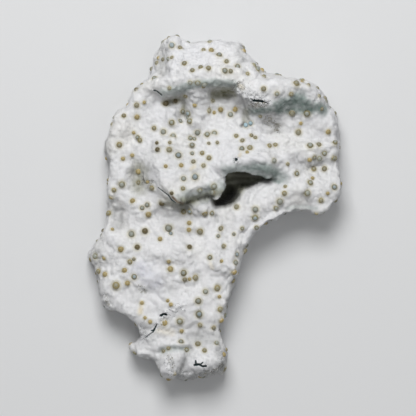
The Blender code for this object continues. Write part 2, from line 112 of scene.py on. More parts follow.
# Parts of the face laid softer than in the solid: outline in plan, lines of stations
# (x, y, height) that the new face runs through.
PATCHES = {
    "above_lip": (
        [(-5, 14.4), (0, 13.6), (3.2, 15), (8, 17), (14, 17.2), (20, 16.8), (24, 16.6), (29, 18.4),
         (30, 22), (24, 25), (14, 26), (4, 26), (-3, 24), (-6, 18)],
        []),
    "lip_end": (
        [(20, 15.2), (22, 16.5), (27, 17), (30.5, 14), (30, 9), (25, 6.5), (21, 7.3), (19.2, 9.3)],
        [[(21, 13, 20.4), (22.8, 12.6, 20.2), (25, 12, 20.6), (28, 11, 21)],
         [(19.6, 10, 15.5), (22, 9.2, 17.6), (24.5, 8.3, 19.6)]]),
    "sill": (
        [(12.2, 5.6), (12, 7.4), (14, 8.4), (16, 9.3), (18.4, 9.9), (20, 10), (21.4, 8.6),
         (20.5, 6.6), (16, 5.4)],
        [[(12.6, 7.2, 14), (14.2, 8, 14.4), (16.2, 8.9, 14.8), (18.4, 9.4, 15.4), (19.8, 9.3, 16)],
         [(12.8, 6.3, 17.4), (15, 7.1, 17.8), (17.5, 7.9, 18), (20, 8.1, 18.2)]]),
    "beside_flap": (
        [(-20.5, 20.5), (-19.6, 13), (-19.4, 9), (-18.4, 6.8), (-16.8, 5.2), (-15, 3.6), (-13.6, 1.6),
         (-15, -3), (-21, -3), (-27, -1), (-31, 5), (-32, 12), (-29, 19.5)],
        [[(-21.4, 17, 20.6), (-20.8, 13, 21.4), (-20.6, 9, 21.2), (-19.4, 6.2, 21.6)],
         [(-24.2, 17, 18.8), (-23.8, 13, 18.6), (-23.4, 9, 18.4), (-21.8, 5.6, 18.2), (-19, 2.8, 17.6),
          (-16.6, 0, 16.4)],
         [(-27.2, 15, 14), (-27.6, 8, 12.8)]]),
    "flap_face": (
        [(-11, 3), (-9.6, 5.6), (-6, 7.2), (-2, 8.2), (-0.6, 8.2), (-0.4, 5.4), (-1, 3.2), (-0.6, 0),
         (-1, -2.5), (-7.5, -2.5), (-10.4, 0.8)],
        [[(-9.6, 3.4, 22.8), (-6, 4.6, 21.8), (-3, 5.4, 21.2), (-1, 6, 21)],
         [(-9, 2, 18), (-6, 2.9, 18.4), (-3, 3.8, 18.2), (-1.4, 4, 17)],
         [(-7.6, 0.4, 18.8), (-5.4, 1.8, 20.6), (-2.8, 2.4, 20.8), (-1.2, 1.4, 19)],
         [(-6, -1, 19.4), (-2.4, -0.6, 19.4)]]),
    "arch_rim": (
        [(9, -16), (13, -9.5), (16, -8), (20, -5), (25, -2.4), (31, -1.5), (39, -3), (42.5, 1.5),
         (38, 4), (30, 4.6), (24, 4.2), (18, 1), (12, -4), (8, -12)],
        [[(14, -7.4, 18.4), (18.6, -3.9, 19), (22.6, -1.6, 19), (26.6, -0.2, 18.8), (31, 0.6, 18.8),
          (35, -0.3, 18.4), (38.4, -0.8, 17.6)]]),
    "right_roll": (
        [(8.6, 37.4), (12, 38), (19.5, 38.6), (23, 40), (26, 41.4), (29, 41.6), (32, 40.2), (37, 38),
         (39.5, 36), (40, 33), (38, 29), (30, 27.5), (22, 26), (14, 26), (9, 27.5), (8, 31)],
        [[(12.6, 36.8, 27.6), (18.8, 36.6, 27.8), (22.4, 38.4, 27.8)],
         [(13, 35, 26.8), (19.5, 34.8, 27), (23, 36.9, 27), (26, 38.6, 26.6), (29, 39, 25.4),
          (32, 37.4, 24), (37.5, 35.4, 21)],
         [(13.4, 32.6, 20.6), (19.5, 32.2, 20.6), (23, 33, 20.2), (26, 33.4, 19.8), (29, 33.2, 19.4),
          (32, 32.6, 19), (37.5, 32.2, 17.8)],
         [(14, 30.4, 19), (18, 30.4, 19), (22, 30.6, 18.8), (27, 31, 18.2), (36, 30, 17.2)],
         [(10.4, 34.2, 15.8), (10.4, 30.4, 16)]]),
    "upper_roll": (
        [(-19.8, 42.2), (-12, 44.2), (-6, 46), (0, 46.6), (5, 46), (7.2, 44.4), (7.4, 39.5), (6, 36.4),
         (0, 36.4), (-2.6, 34), (-9.6, 32.6), (-12.2, 32.6), (-13, 35.2), (-18.6, 35), (-20, 38.4)],
        [[(-12, 42.8, 28), (-6, 44.1, 29.6), (0, 44.5, 30.2), (5.6, 44.1, 30)],
         [(-18, 39.6, 24.8), (-12, 40.8, 27.2), (-6, 42.6, 28.8), (0, 42.8, 29.6), (5.6, 42.4, 29.2)],
         [(-16.5, 37.9, 16.8), (-12, 38.9, 17.4), (-9.8, 40.4, 21), (-8.4, 41.2, 25), (-6, 41.9, 27.2),
          (-3.4, 41.7, 25.4), (-2, 41.4, 22), (0, 41.2, 19.6), (4, 41.1, 17.6), (6.8, 40.7, 17.6)],
         [(-17.2, 36.4, 13), (-13, 36.9, 13.6)],
         [(-11, 37, 15), (-11, 33.4, 15.8)],
         [(-0.2, 39.4, 14.4), (3, 39.6, 13), (6, 39.2, 13)],
         [(-8.4, 34.6, 20), (-8.2, 36.8, 21.2), (-7.8, 38.8, 23.2), (-7.2, 40.4, 25.4)],
         [(-4.8, 34.6, 20), (-4.7, 36.8, 21.4), (-4.6, 38.6, 23.4), (-4.6, 39.8, 25)]]),
    "fold": (
        [(24, 22.4), (32, 24), (41, 24.6), (42.4, 20), (42, 15), (33, 14.4), (27, 15), (24, 17)],
        [[(25.5, 18.8, 23), (30, 19.6, 21.6), (36, 20.2, 20.6), (41, 20.8, 19.4)],
         [(28, 16.2, 20.8), (36, 16.6, 19.2), (41, 16.8, 18)]]),
    "belly": (
        [(-31, -20.5), (-20, -20), (-6, -20.5), (-5, -32), (-15, -33), (-31, -33)],
        [[(-28, -24.4, 18.2), (-18, -25, 18.6), (-9, -24, 18.6)],
         [(-29, -28.4, 16.8), (-24, -29.4, 16.2), (-18, -29.2, 16.8), (-10, -27.6, 17.8)]]),
    "foot": (
        [(-15, -49.5), (-6.8, -50.2), (-6.8, -54), (-7.6, -58), (-10, -59.4), (-14.6, -59), (-15.6, -54)],
        [[(-13, -51.5, 18.4), (-14, -57, 18)],
         [(-8.2, -51.5, 18.6), (-9.4, -56.5, 18)],
         [(-10.2, -51.4, 16.4), (-10.9, -55, 15.8), (-12.6, -58.4, 12.6)]]),
}
GRID_STEP = 0.5
GRID_HALF = (46, 62)
LINE_REACH = 0.8 * GRID_STEP
SEEN_DEPTH = 1.5
LAY_ROUNDS = 900
SOFTEN_ROUNDS = 6
PAD_ROUNDS = 3

# Edges drawn further forward than in the solid: stations (x, y, height), reach, shift.
SHIFTS = {
    "lip": (
        [(2, 15, 23.5), (8, 15.4, 24), (14, 16, 24), (19, 15.4, 23), (22, 14, 21)], 5.0, (0, -3.1, -1.8)),
    "lip_right": ([(14, 13, 22), (19, 12.3, 21), (22, 11, 19.5)], 4.0, (-0.2, -1.6, -0.8)),
    "flap_corner": ([(2.4, 9, 22), (0.6, 6.2, 21.5)], 4.2, (0, -2.6, -0.4)),
}

# Rises and hollows of the face that the solid leaves out: line, half width, rise.
# They keep to what faces up.
RELIEF_FACING = 2
RELIEF = {
    "below_flap": ([(-15, -1.5), (-8, -1.5)], 4.0, 1.2),
    "arch_edge": ([(10, -13), (13, -8.6), (17, -5.6), (21, -3.4)], 2.0, 1.4),
    "foot_rim": ([(-17.5, -57), (-16, -59), (-8, -59.6), (1, -58.6)], 2.0, 1.2),
    "spur_rim": ([(-27, -51), (-21, -52.4)], 1.5, 1.0),
    "band_rim": ([(4, -34), (5, -30), (7, -22)], 2.5, 1.2),
    "belly_pit": ([(-25.6, -29.2), (-24.2, -29.8)], 1.1, -0.8),
    "knee_hollow": ([(-19, -3), (-15, -8), (-8, -10.5)], 4.6, -1.8),
    "neck": ([(-20, -46.4), (-10, -46), (1, -46)], 2.6, -0.6),
    "foot_crevice": ([(-10, -50.8), (-10.8, -54.5), (-12.8, -59)], 0.9, -1.0),
    "flap_top_edge": ([(-21, 20.6), (-14, 21.2), (-8, 20.7), (-5, 19.4)], 0.8, -0.55),
    "under_neck": ([(-19, -50.4), (-14, -49.4), (-9, -49.6)], 1.8, -1.2),
    "crown_crease": ([(-2, 50), (3, 49), (8, 49), (11, 47), (13, 45.5)], 1.0, -0.9),
    "rib_groove": ([(-11, 37), (-11, 31)], 1.5, -1.2),
    "left_rib": ([(-15.5, 34.5), (-15, 29.5)], 2.4, 0.7),
    "rib": ([(-6.4, 37.5), (-6.6, 30)], 3.8, 1.1),
    "speckled_pit": ([(18.3, 29.3), (21, 28.4)], 2.0, -0.9),
    "fold_line": ([(25, 21.5), (33, 23.5), (42, 25)], 1.1, -0.7),
    "fold_step": ([(26, 19.6), (34, 21.4), (42, 22.5)], 2.0, 0.8),
    "right_dent": ([(33, 13), (38, 11)], 2.6, -0.8),
    "inner_crease": ([(0.4, -3), (0.6, -5.4)], 0.8, -0.7),
    "left_notch": ([(-34.6, -1.5), (-34.2, -6)], 3.0, -1.6),
    "left_wrinkles": ([(-36, 1.5), (-33.6, 0.6)], 0.7, -0.5),
    "scratches": ([(27.5, 18.5), (31.5, 12.5)], 0.7, -0.35),
}

# Colours. Teal, olive, grey and dusk also serve as painted shade under ledges and in hollows, and the
# cave's colours as painted shade in the deep hollow.
WHITE = (0.80, 0.80, 0.805)
CREAM = (0.84, 0.825, 0.78)
LAVENDER = (0.74, 0.745, 0.80)
TEAL = (0.24, 0.31, 0.285)
PALE_TEAL = (0.52, 0.62, 0.585)
OLIVE = (0.27, 0.265, 0.155)
GREY = (0.42, 0.425, 0.42)
DUSK = (0.3, 0.3, 0.22)
# Painted shade of the deep hollow, lighter painted bands on its wall, and its darkest shade.
CAVE_SHADE = (0.27, 0.27, 0.205)
CAVE_LIT_BAND = (0.5, 0.5, 0.43)
CAVE_DEEP_SHADE = (0.035, 0.035, 0.03)
BROWN = (0.15, 0.085, 0.035)
PALE_OCHRE = (0.74, 0.64, 0.42)
CREAM_SHARE = 0.4
LAVENDER_SHARE = 0.2
# Painted shade darkens the felt towards the back: up to this height, and how strongly.
LOW_SHADE_HEIGHT = 1.6
LOW_SHADE_STRENGTH = 0.35

# Stains and painted shade: line, half width, strength, colour. They reach further than the half width.
STAIN_AND_SHADE_REACH = 1.35
STAINS_AND_SHADE = {
    "upper_roll_front": ([(-18, 39.8), (-12, 41.3), (-6, 43), (0, 43.5), (7, 42.8)], 1.6, 0.5, PALE_TEAL),
    # Painted shade under the upper and right rolls, beside two balls, and in the recesses, groove, hollows
    # and pit below the rolls; the teal is partly the felt's own tint there.
    "under_upper_roll": ([(-14, 39.2), (-10, 41.2), (-6, 42.8), (0, 42.9), (7.5, 42)], 1.1, 0.28, TEAL),
    "recess_left": ([(-17.3, 36.6), (-14, 37.2), (-11.4, 38)], 1.6, 0.62, OLIVE),
    "recess_middle": ([(-0.2, 39.6), (3, 40), (5.6, 40)], 2.3, 0.82, OLIVE),
    "rib_groove": ([(-11, 36), (-11, 32)], 1.1, 0.5, OLIVE),
    "grey_hollow": ([(11.2, 34.4), (10.4, 30.2)], 1.8, 0.5, GREY),
    "grey_hollow_deep": ([(10.9, 33.6), (10.4, 30.4)], 1.5, 0.4, OLIVE),
    "pair_shade": ([(9.9, 29.2), (9.3, 28.4)], 0.75, 0.85, CAVE_DEEP_SHADE),
    "under_right_left": ([(13, 33.4), (19, 34)], 1.5, 0.75, TEAL),
    "under_right_roll": ([(22, 35.2), (25, 36.2), (28.5, 36.8), (32, 35.6),
                          (37.5, 34.4)], 2.3, 0.8, TEAL),
    "under_right_low": ([(22, 33.6), (29, 34), (34, 33.8)], 1.5, 0.7, TEAL),
    "teal_blotch": ([(27.4, 37.8), (29.2, 38.2)], 2.6, 0.62, TEAL),
    "speckled_pit": ([(18, 29.6), (21.5, 28.8)], 3.0, 0.5, GREY),
    # Painted shade in a dent and under the fold.
    "right_dent": ([(31, 14), (39, 11)], 3.5, 0.14, GREY),
    "grey_patch": ([(35.2, 16.8), (38.5, 18.6)], 1.9, 0.55, GREY),
    # Painted shade under the brow and its end, on the flap's lower face and in the crevice under it, in
    # the knee hollow, and below and beside the flap; the flap's top is made darker.
    "brow_underside": ([(4, 12.9), (9, 13.4), (14, 13.7), (18, 13.3), (21, 12)], 2.0, 0.62, TEAL),
    "brow_end": ([(16, 12.8), (20, 11.9), (23.5, 10.4)], 2.6, 0.55, TEAL),
    "flap_edge": ([(-11, 3), (-6, 4), (-1, 5.6), (2.5, 6.8)], 3.2, 0.5, TEAL),
    "flap_lower": ([(-11.5, 2), (-6, 3.2), (-1, 4.4), (2.4, 5)], 1.6, 0.55, OLIVE),
    "flap_crevice": ([(-12, 0.8), (-9, 1.7), (-6, 2.8), (-3, 3.6), (-0.6, 3.6)], 0.8, 0.7, CAVE_DEEP_SHADE),
    "knee": ([(-17, -4), (-12, -8.6)], 2.8, 0.22, GREY),
    "flap_shade": ([(-17, -1.6), (-12, -3), (-7, -2.2)], 3.0, 0.2, GREY),
    "flap_top": ([(-15, 18), (-10, 11)], 7.0, 0.19, GREY),
    "below_flap": ([(-17, 1.8), (-12, 0.2), (-7, 1.4)], 1.8, 0.36, OLIVE),
    "beside_flap": ([(-26.4, 13.5), (-26.6, 7)], 3.5, 0.68, DUSK),
    "beside_flap_right": ([(-23.4, 13), (-22.4, 8)], 2.6, 0.35, GREY),
    # Painted shade in the notch, on the crown's slopes, by the neck, in the belly's crease, under the
    # lobe, along the band's edge and under the brow's tip; darker at the left tip and edge.
    "left_notch": ([(-34.4, -1), (-33.8, -6)], 3.2, 0.42, GREY),
    "crown_left": ([(-18.5, 55), (-18.2, 47.5)], 2.0, 0.4, GREY),
    "crown_end": ([(8, 50), (10.5, 48)], 1.4, 0.3, GREY),
    "crown_corner": ([(9, 55.5), (9.8, 51)], 1.7, 0.4, GREY),
    "neck_shade": ([(-8, -46.2), (1, -46)], 3.4, 0.48, GREY),
    "belly_shade": ([(-27, -29), (-14, -29.2)], 1.6, 0.34, GREY),
    "lobe_underside": ([(25, -0.6), (30, 0.2), (35.5, -0.4)], 0.9, 0.35, TEAL),
    "band_edge": ([(6.4, -25), (5, -32), (4.2, -36)], 1.3, 0.5, GREY),
    "left_tip": ([(-42, -16), (-41, -21)], 1.4, 0.4, GREY),
    "left_edge": ([(-38.4, 23.5), (-38, 19)], 1.2, 0.35, GREY),
    "cave_tip": ([(15, 11), (18.6, 10.1), (22.2, 8.5)], 0.8, 0.7, TEAL),
    "smooth_belly": ([(-26, -21.5), (-21.5, -26)], 4.2, 0.7, LAVENDER),
    "stain_belly": ([(-25.6, -33.6), (-26, -36.8)], 1.1, 0.55, PALE_OCHRE),
    "stain_crown": ([(8.6, 42.4), (9.4, 41.6)], 1.1, 0.4, PALE_OCHRE),
    "stain_hollow": ([(8.5, 17.8), (8.9, 18.6)], 0.8, 0.45, PALE_OCHRE),
    "stain_flap": ([(-8.4, 13.3), (-7.2, 14.2)], 0.9, 0.4, PALE_OCHRE),
    "stain_neck": ([(-20, -43), (-15, -44)], 1.6, 0.25, PALE_OCHRE),
    "stain_middle": ([(-1.6, -20), (-0.8, -21.5)], 0.8, 0.3, PALE_OCHRE),
    "corner_break": ([(-38.4, -32), (-37, -35)], 1.5, 0.35, GREY),
    "foot_break": ([(-11, -59.6), (-4, -58.8), (2.5, -57)], 2.4, 0.45, GREY),
    # Painted shade under the neck's fold.
    "under_neck": ([(-18.6, -50.4), (-14, -49.4), (-9.6, -49.8)], 1.5, 0.4, TEAL),
    "brown_rim": ([(-14.8, 3.5), (-13.2, 1.8), (-11.4, 1.3)], 0.5, 0.85, BROWN),
    "foot_right_break": ([(1.8, -50.5), (2.4, -56)], 1.7, 0.6, GREY),
    # Painted shade in the foot's crevice and in a crease.
    "foot_crevice": ([(-10, -51.6), (-10.8, -54.5), (-12.8, -58.4)], 1.4, 0.55, GREY),
    "inner_crease": ([(0.4, -3), (0.8, -5.2)], 0.7, 0.5, GREY),
    "neck_cracks": ([(-24.8, -41.5), (-22, -46.5)], 1.8, 0.3, GREY),
}

# The deep hollow's painted shade: where it lies in plan, and the height under which it's painted dark.
CAVE_MOUTH = [(3, 12.2), (7, 12.9), (12, 12.6), (16, 11.3), (18.5, 10.5), (20, 10), (18.6, 9.7),
              (16, 9.1), (13, 8), (10.5, 6.3), (8.7, 3.7), (7, 1.3), (3.5, 0.2), (0, 0), (-1, 1.5),
              (-1, 3.4), (2.8, 5), (3.1, 9)]
# Painted light: lighter bands across the hollow's shaded wall, where its ledges catch light.
CAVE_LIT_BANDS = [([(5, 11.2), (10, 11), (16, 10.4)], 0.8), ([(4, 8.4), (9, 9), (14, 9.2)], 0.9)]
# The deepest painted shade lies round this line.
CAVE_FOOT = ([(0, 0), (3, 1.5), (6, 4)], 4.2)
CAVE_FADE = 1.1
CAVE_REACH = 6.0
CAVE_TOP = 20.5
CAVE_DUSK = 2.5
CAVE_ROOF = -0.1

# Cracks through to the dark rock: line, half width, depth.
CRACK_COLOUR = (0.012, 0.04, 0.042)
CRACK_REACH = 1.25
CRACK_DARK = 1.1
CRACK_BLUR = 0.12
# How sharply cracks keep to what faces up, and how far their dark spreads past it.
CRACK_FACING = 3
CRACK_SPREAD = 0.6
CRACKS = {
    "knot": ([(13.4, 37.1), (15.2, 36.9), (16.6, 36.7)], 0.42, 1.4),
    "knot_ends": ([(12.3, 37.6), (14, 37), (17, 36.7), (18.6, 35.9)], 0.18, 0.8),
    "neck": ([(-18.9, -38.0), (-17.9, -37.5), (-17.2, -37.6)], 0.42, 1.0),
    "neck_thin": ([(-20.4, -41.1), (-20.9, -42.3), (-21.8, -43.8)], 0.27, 0.8),
    "neck_hair": ([(-21.8, -43.8), (-23, -44.6), (-24.3, -45.8)], 0.14, 0.5),
    "neck_branch": ([(-21.2, -43.2), (-22.3, -43.3)], 0.2, 0.6),
    "foot": ([(-7.2, -55.3), (-5.6, -55), (-4.3, -55.7), (-3.2, -55.6)], 0.37, 1.1),
    "foot_up": ([(-6.6, -55.2), (-6.8, -53.8)], 0.27, 0.9),
    "foot_branch": ([(-5.2, -55.1), (-4.3, -54.4)], 0.25, 0.8),
    "recess_end": ([(-21.4, 40.8), (-20.4, 40.6), (-18.6, 39.2)], 0.22, 0.8),
    "flap_corner": ([(-16.3, 4.2), (-15.2, 2.6), (-13.8, 1.4)], 0.24, 0.8),
    "flap_side": ([(-19.8, 6.8), (-18, 5.4), (-16.4, 4.2)], 0.17, 0.5),
}
# Marks that stay above a height, off the wall below them. The others start below all.
BELOW_ALL = -1
LOWEST = {"brown_rim": 20.5, "flap_corner": 20.5, "flap_side": 20.5, "knot": 22, "knot_ends": 22}
# A dark dot: place and radius, depth, reach in radii
DOT = (7.4, 16.5, 0.62)
DOT_DEPTH = 1.2
DOT_REACH = 1.2
# Near the cracks the faces are made finer, where they face up.
FINE_ROUNDS = 2
FINE_REACH = 0.7
FINE_FACING = 0.1

# Broken, sparkling places: line, half width. The fullness widens their middle.
BROKEN_FULLNESS = 1.8
BROKEN = {
    "knot": ([(8.5, 42), (12, 39.4), (17, 37.4)], 3.4),
    "neck": ([(-19.5, -41), (-16, -37), (-11.5, -34.5)], 2.2),
    "foot_left": ([(-17, -53.5), (-15, -57)], 3.0),
    "foot_edge": ([(-12, -59.2), (-4, -58.8), (2.5, -57.4)], 2.3),
    "foot_right": ([(1.8, -50.5), (2.2, -57)], 1.5),
    "corner": ([(-38.6, -31), (-37, -35)], 1.6),
    "neck_left": ([(-25.5, -41.5), (-24.5, -46)], 2.0),
    "dot": ([(7.3, 16.4)], 1.6),
}

# Grains of dark rock in the felt: line, half width, with a fullness as above.
SPECKLED_FULLNESS = 1.6
SPECKLED = {
    "pit": ([(18.4, 30.5), (21.4, 28)], 2.3),
    "left": ([(-22.6, 8.8), (-25, 9.6)], 1.4),
    "under_knot": ([(12.5, 35.6), (17.5, 35.4)], 1.1),
    "knot": ([(8.2, 42.6), (9.6, 41.2)], 1.9),
    "belly_pit": ([(-26.3, -28.3), (-24.8, -29.5)], 1.4),
    "foot_left": ([(-16, -52.6), (-14.8, -55.6)], 1.3),
    "foot_right": ([(-3, -58), (0, -57.4), (2.2, -55.4)], 1.1),
    "corner": ([(-38.2, -31.6), (-37.4, -34)], 0.9),
}
SPECKLE_COLOUR = (0.2, 0.18, 0.12)
SPECKLE_STRENGTH = 0.7
SPECKLE_LEVEL = 0.8

# Gyrolite balls: (x, y, radius) by look.
BALLS = {
    "dark": [
        (-17.3, 36.4, 1.1), (-24.5, -8.4, 1.1), (-8.9, -14, 0.9), (-27.2, -14.1, 1), (-13.8, 37.2, 0.8),
        (-15.1, 4.8, 0.7), (-18.6, 1.3, 1), (-20, 20, 0.9), (-20.3, 22.4, 0.6),
    ],
    "sky": [(10.9, 28.7, 0.9), (12.5, 29.3, 0.8)],
    "blue": [
        (14, -3.6, 1.1), (-15.5, -9.3, 0.7), (-8.6, -1.4, 1), (-12.8, 18, 1.1), (-5.6, -37.5, 1.2),
        (-6.9, 10.5, 1.1), (-15.1, 56.5, 1), (-9.2, 32.8, 1), (41.7, 7, 1), (-28.3, -24.4, 1),
        (7.6, -16.5, 0.8),
    ],
    "grey": [
        (1.4, 53, 1), (3.4, 47.4, 1), (7.8, 49, 0.9), (-6, 43.3, 1), (-3.7, 42.8, 1), (14.8, 48.2, 1),
        (32.2, 32.8, 1.2), (5.4, 32.4, 0.9), (-8.8, 30, 1), (-15.1, 29.5, 1), (-18, 26.3, 1),
        (-14.7, 24.7, 1), (-6.1, 26.1, 1), (-2.7, 25.3, 1), (-0.2, 25.7, 1), (-8, 21.6, 0.9),
        (9.4, 20.3, 0.9), (33.2, 21.4, 1.1), (42, 22.5, 0.9), (36.5, 17, 0.9), (38.2, 18.8, 0.9),
        (28.5, 11.7, 0.9), (33.2, 8.4, 1), (32.2, 4.9, 1.1), (22.6, 1.9, 1.1), (14.1, -0.8, 1),
        (-11, 9.9, 0.9), (-0.4, 7.2, 1), (-32.6, 8, 1.1), (-23.7, 0.7, 0.9), (-29.2, -9.5, 1.1),
        (-16.2, -7.4, 1.3), (-10.9, -23.1, 1.1), (-5.8, -32.9, 1.1), (-12.3, -40, 1.1), (-3.4, -29.6, 0.9),
        (-11.9, -47.2, 0.9), (-21.2, 45, 0.9), (-8.6, 43.3, 0.8), (-27, 24.4, 0.8), (-12.2, 30, 0.8),
        (20.6, 16.2, 0.8), (21.2, -0.2, 0.9), (7.1, -19.4, 0.9), (-0.7, 5.1, 1), (-5.3, 5.8, 0.8),
        (-10, -50, 0.8), (-41.9, -17.3, 1), (-8, 18.7, 0.7), (-16.3, 51.8, 0.7), (21.5, 39.4, 0.8),
        (-25.5, -0.3, 0.8), (-1.1, -2.2, 0.8), (14.5, -7.2, 0.8), (0.5, -47.6, 0.8), (-11.3, 33.6, 0.8),
        (-9.4, 31.4, 0.7), (34.6, 17.4, 0.8), (9.5, -7.5, 0.7), (1.2, -10.2, 0.7), (6.6, -9.5, 0.6),
        (-8.6, 24.1, 0.8), (-7.2, 23.8, 0.65),
    ],
    "khaki": [
        (-10.6, 50.1, 0.9), (-2.3, 48.3, 0.9), (16.9, 41.1, 0.9), (28.3, 43, 1.1), (26.9, 32.9, 1.1),
        (-27.4, 35.6, 0.9), (-2.2, 33.7, 0.9), (-33.5, 21.8, 1), (12.2, 20.6, 1), (29.2, 26.2, 1),
        (36.3, 21.7, 0.9), (34.6, 13.2, 0.9), (38.3, 13.4, 0.9), (37, 2.4, 0.9), (24.2, 4.8, 0.9),
        (7.6, 0, 0.9), (-16, 20, 1), (-2.1, 17.1, 0.9), (-11, -1.7, 0.9), (-3.6, -2.2, 1),
        (-5.2, -8.5, 1.1), (-29.7, -19.2, 0.9), (2.1, -7.6, 0.9), (-6.9, -24.7, 1), (0.7, -28.3, 1.1),
        (1.7, -35.8, 1), (-6, -48, 1), (-34.6, -27.5, 1.3), (-12.2, 55.6, 0.8), (-5, 48.6, 0.8),
        (-7.9, 47.6, 0.8), (5.4, 47.3, 0.8), (4, 50.8, 0.8), (-15.1, 52.2, 0.6), (-10.3, 38.8, 0.7),
        (-21.3, 27.6, 0.8), (-4.5, 18.8, 0.8), (-7.5, 15.8, 0.8), (-4, 14.4, 0.8), (7.4, 24.8, 0.8),
        (9.6, 23.2, 0.8), (14.1, 24.2, 0.7), (12.7, 25, 0.7), (19, 21.4, 0.8), (21.1, 21.7, 0.8),
        (42, 17, 0.8), (25.4, 15, 0.6), (35.8, 41.6, 0.7), (38.4, 38, 0.8), (37.3, 34.3, 0.7),
        (-35.4, 6, 0.8), (-26.8, 8.5, 0.8), (-22, 6.7, 0.9), (-11.2, 6.4, 0.8), (-37.2, -2.1, 0.9),
        (-28.4, -18.2, 0.6), (-40.8, -22.5, 0.9), (3.1, -13.7, 0.8), (-10.6, -25.3, 0.8),
        (-5.2, -41.3, 0.8), (-0.5, -42.2, 0.8), (-3.7, -50.2, 0.8), (-16.3, -49.4, 0.7), (-18, -50.5, 0.6),
        (-4, 54.9, 0.7), (-15.9, 41.4, 0.7), (24.5, 7.2, 0.6), (-2.2, 22.2, 0.6), (0.8, 22.5, 0.6),
        (-20.4, 50.5, 0.7), (-18.2, 51.7, 0.7), (-0.8, 37.2, 0.7), (-4, 42, 0.7), (-31.9, 31.9, 0.8),
        (15.8, 31.7, 0.6), (-26.3, 23.4, 0.8), (26.5, 39.3, 0.8), (11.3, 46.4, 0.7), (-15.8, 22.5, 0.5),
    ],
    "ochre": [
        (-1.3, 54.7, 0.9), (-27.3, 31.5, 0.9), (2, 34.1, 0.9), (7, 34.2, 0.9), (39.6, 26.3, 0.9),
        (-26.8, 12.4, 0.9), (-28.8, 2.1, 0.9), (-23.3, -2.6, 1), (-32.9, -14.8, 1), (-15.6, -21.7, 1),
        (-31.6, -22.2, 0.9), (-38.5, -23.6, 0.9), (-30.7, -26.7, 0.9), (-17.6, -40.6, 1),
        (-24.8, 36.6, 0.5), (-7.1, 35.5, 0.7), (-0.3, 33, 0.6), (30, 29.3, 0.6), (11.2, 19.1, 0.6),
        (-17.2, 14.2, 0.7), (-11.8, 14.5, 0.8), (-32.2, 16.9, 0.7), (-29, 18.1, 0.7), (-9, -5.6, 0.8),
        (-9.1, -8, 0.8), (-19.2, -11.2, 0.8), (-38.8, -17.8, 0.7), (-36, -7.8, 0.6), (2.3, -18.9, 0.5),
        (-16.2, -19.1, 0.7), (-8.9, -25.2, 0.6), (1.5, -31.4, 0.6), (-16.5, -32.8, 0.6),
        (-15.4, -34.1, 0.7), (-25.6, -33.6, 0.7), (-22.7, -40.2, 0.7), (-24.5, -38.8, 0.6),
        (-11.7, -43.4, 0.7), (3, -51.7, 0.8), (34.1, 10.1, 0.6), (43.9, 8.2, 0.6), (39.4, 4.8, 0.6),
        (-28.4, 26, 0.5), (33.1, 16.5, 0.8), (-23.5, 8.8, 0.6),
    ],
}

# Looks of a ball: colour of its crown and of the ring round it.
LOOKS = {
    "dark": ((0.105, 0.083, 0.036), (0.19, 0.165, 0.09)),
    "sky": ((0.37, 0.51, 0.57), (0.25, 0.30, 0.30)),
    "blue": ((0.28, 0.33, 0.345), (0.22, 0.20, 0.10)),
    "grey": ((0.3, 0.315, 0.275), (0.23, 0.20, 0.09)),
    "khaki": ((0.27, 0.255, 0.18), (0.29, 0.235, 0.09)),
    "ochre": ((0.35, 0.285, 0.135), (0.44, 0.33, 0.12)),
}
LOOK_SHARES = (0.06, 0, 0.07, 0.31, 0.31, 0.25)
# The least radius made, and how much larger a ball is made than the disc seen of it
BALL_RADIUS_LEAST = 0.64
BALL_SWELL = 1.04
# A ball read from the photograph is the solid's own where they match in plan and that one faces up.
BALL_MATCH = 0.9
BALL_SEEN = 0.1
# A ray that starts this far out finds the crust. The ball's middle rises over it by this much, less a
# share of the radius.
BALL_SEARCH = 3.0
BALL_RISE = 0.16
BALL_SUNK = 0.12
# Balls keep clear of the floor by this much, and of each other by a share of both radii.
BALL_CLEARANCE = 0.05
BALL_CROWDING = 0.75
BALL_FINENESS = 3
BALL_TONE = 0.16
# Where a ball's ring starts and the felt at its rim, and how soft they are, in radii.
RING_STARTS = (0.45, 0.7)
RING_BLUR = 0.25
RIM_START = 0.86
RIM_BLUR = 0.2
RIM_STRENGTH = 0.5
# The collar of felt round a ball: height, middle and width in radii, and its end in such widths
COLLAR = (0.1, 1.15, 0.3)
COLLAR_END = 2.5
# The stain and painted shade in the felt round a ball: strength at the ball, and reach in ball radii.
HALO_AND_SHADE = (0.62, 0.85)
HALO_AND_SHADE_COLOUR = (0.54, 0.5, 0.34)
# Balls on the walls: how many, from what height, on how steep a face, and within how many grid steps
# of the outline
WALL_BALLS = 95
WALL_LOWEST = 2.2
WALL_SLOPE = 0.45
WALL_REACH = 6
WALL_SEARCH = 2
WALL_BALL_RADII = (0.55, 1.0)

# Nap of the felt: spikes on a three-sided base. Spare ones are drawn for those that fall on balls.
NAP_PIECES = 3
NAP_PER_PIECE = 48000
NAP_SPARE = 1.15
NAP_LOWEST = 0.25
NAP_DARKEST = 0.1
NAP_BASE = 0.075
NAP_ROOT = 0.12
NAP_LENGTH = (0.25, 0.6)
NAP_UPRIGHT = 0.8
NAP_STRAY = 0.28

# Crystals: how many, half lengths, half widths
SPLINTERS = (2800, (0.2, 0.5), (0.09, 0.22))
GRAINS = (760, (0.14, 0.34), (0.1, 0.24))
CRYSTAL_UPRIGHT = 0.5
CRYSTAL_STRAY = 0.6
CRYSTAL_ANGLES = (0, 1.4, 3.0, 4.5)
CRYSTAL_FLATNESS = 0.7
CRYSTAL_LOWEST = 0.02
SPLINTER_LOWEST = 0.6
SPLINTER_DARKEST = 0.05
SPLINTER_FACING = (0.08, 0.5)
# The share of dull splinters, and the tones of dull and bright ones
SPLINTER_TONES = (0.35, 0.45, 0.95)
SPLINTER_COLOUR = (0.98, 0.99, 1.0)
GRAIN_FACING = 0.1
GRAIN_COLOURS = [(0.045, 0.04, 0.025), (0.12, 0.1, 0.05), (0.3, 0.27, 0.17), (0.5, 0.5, 0.46)]

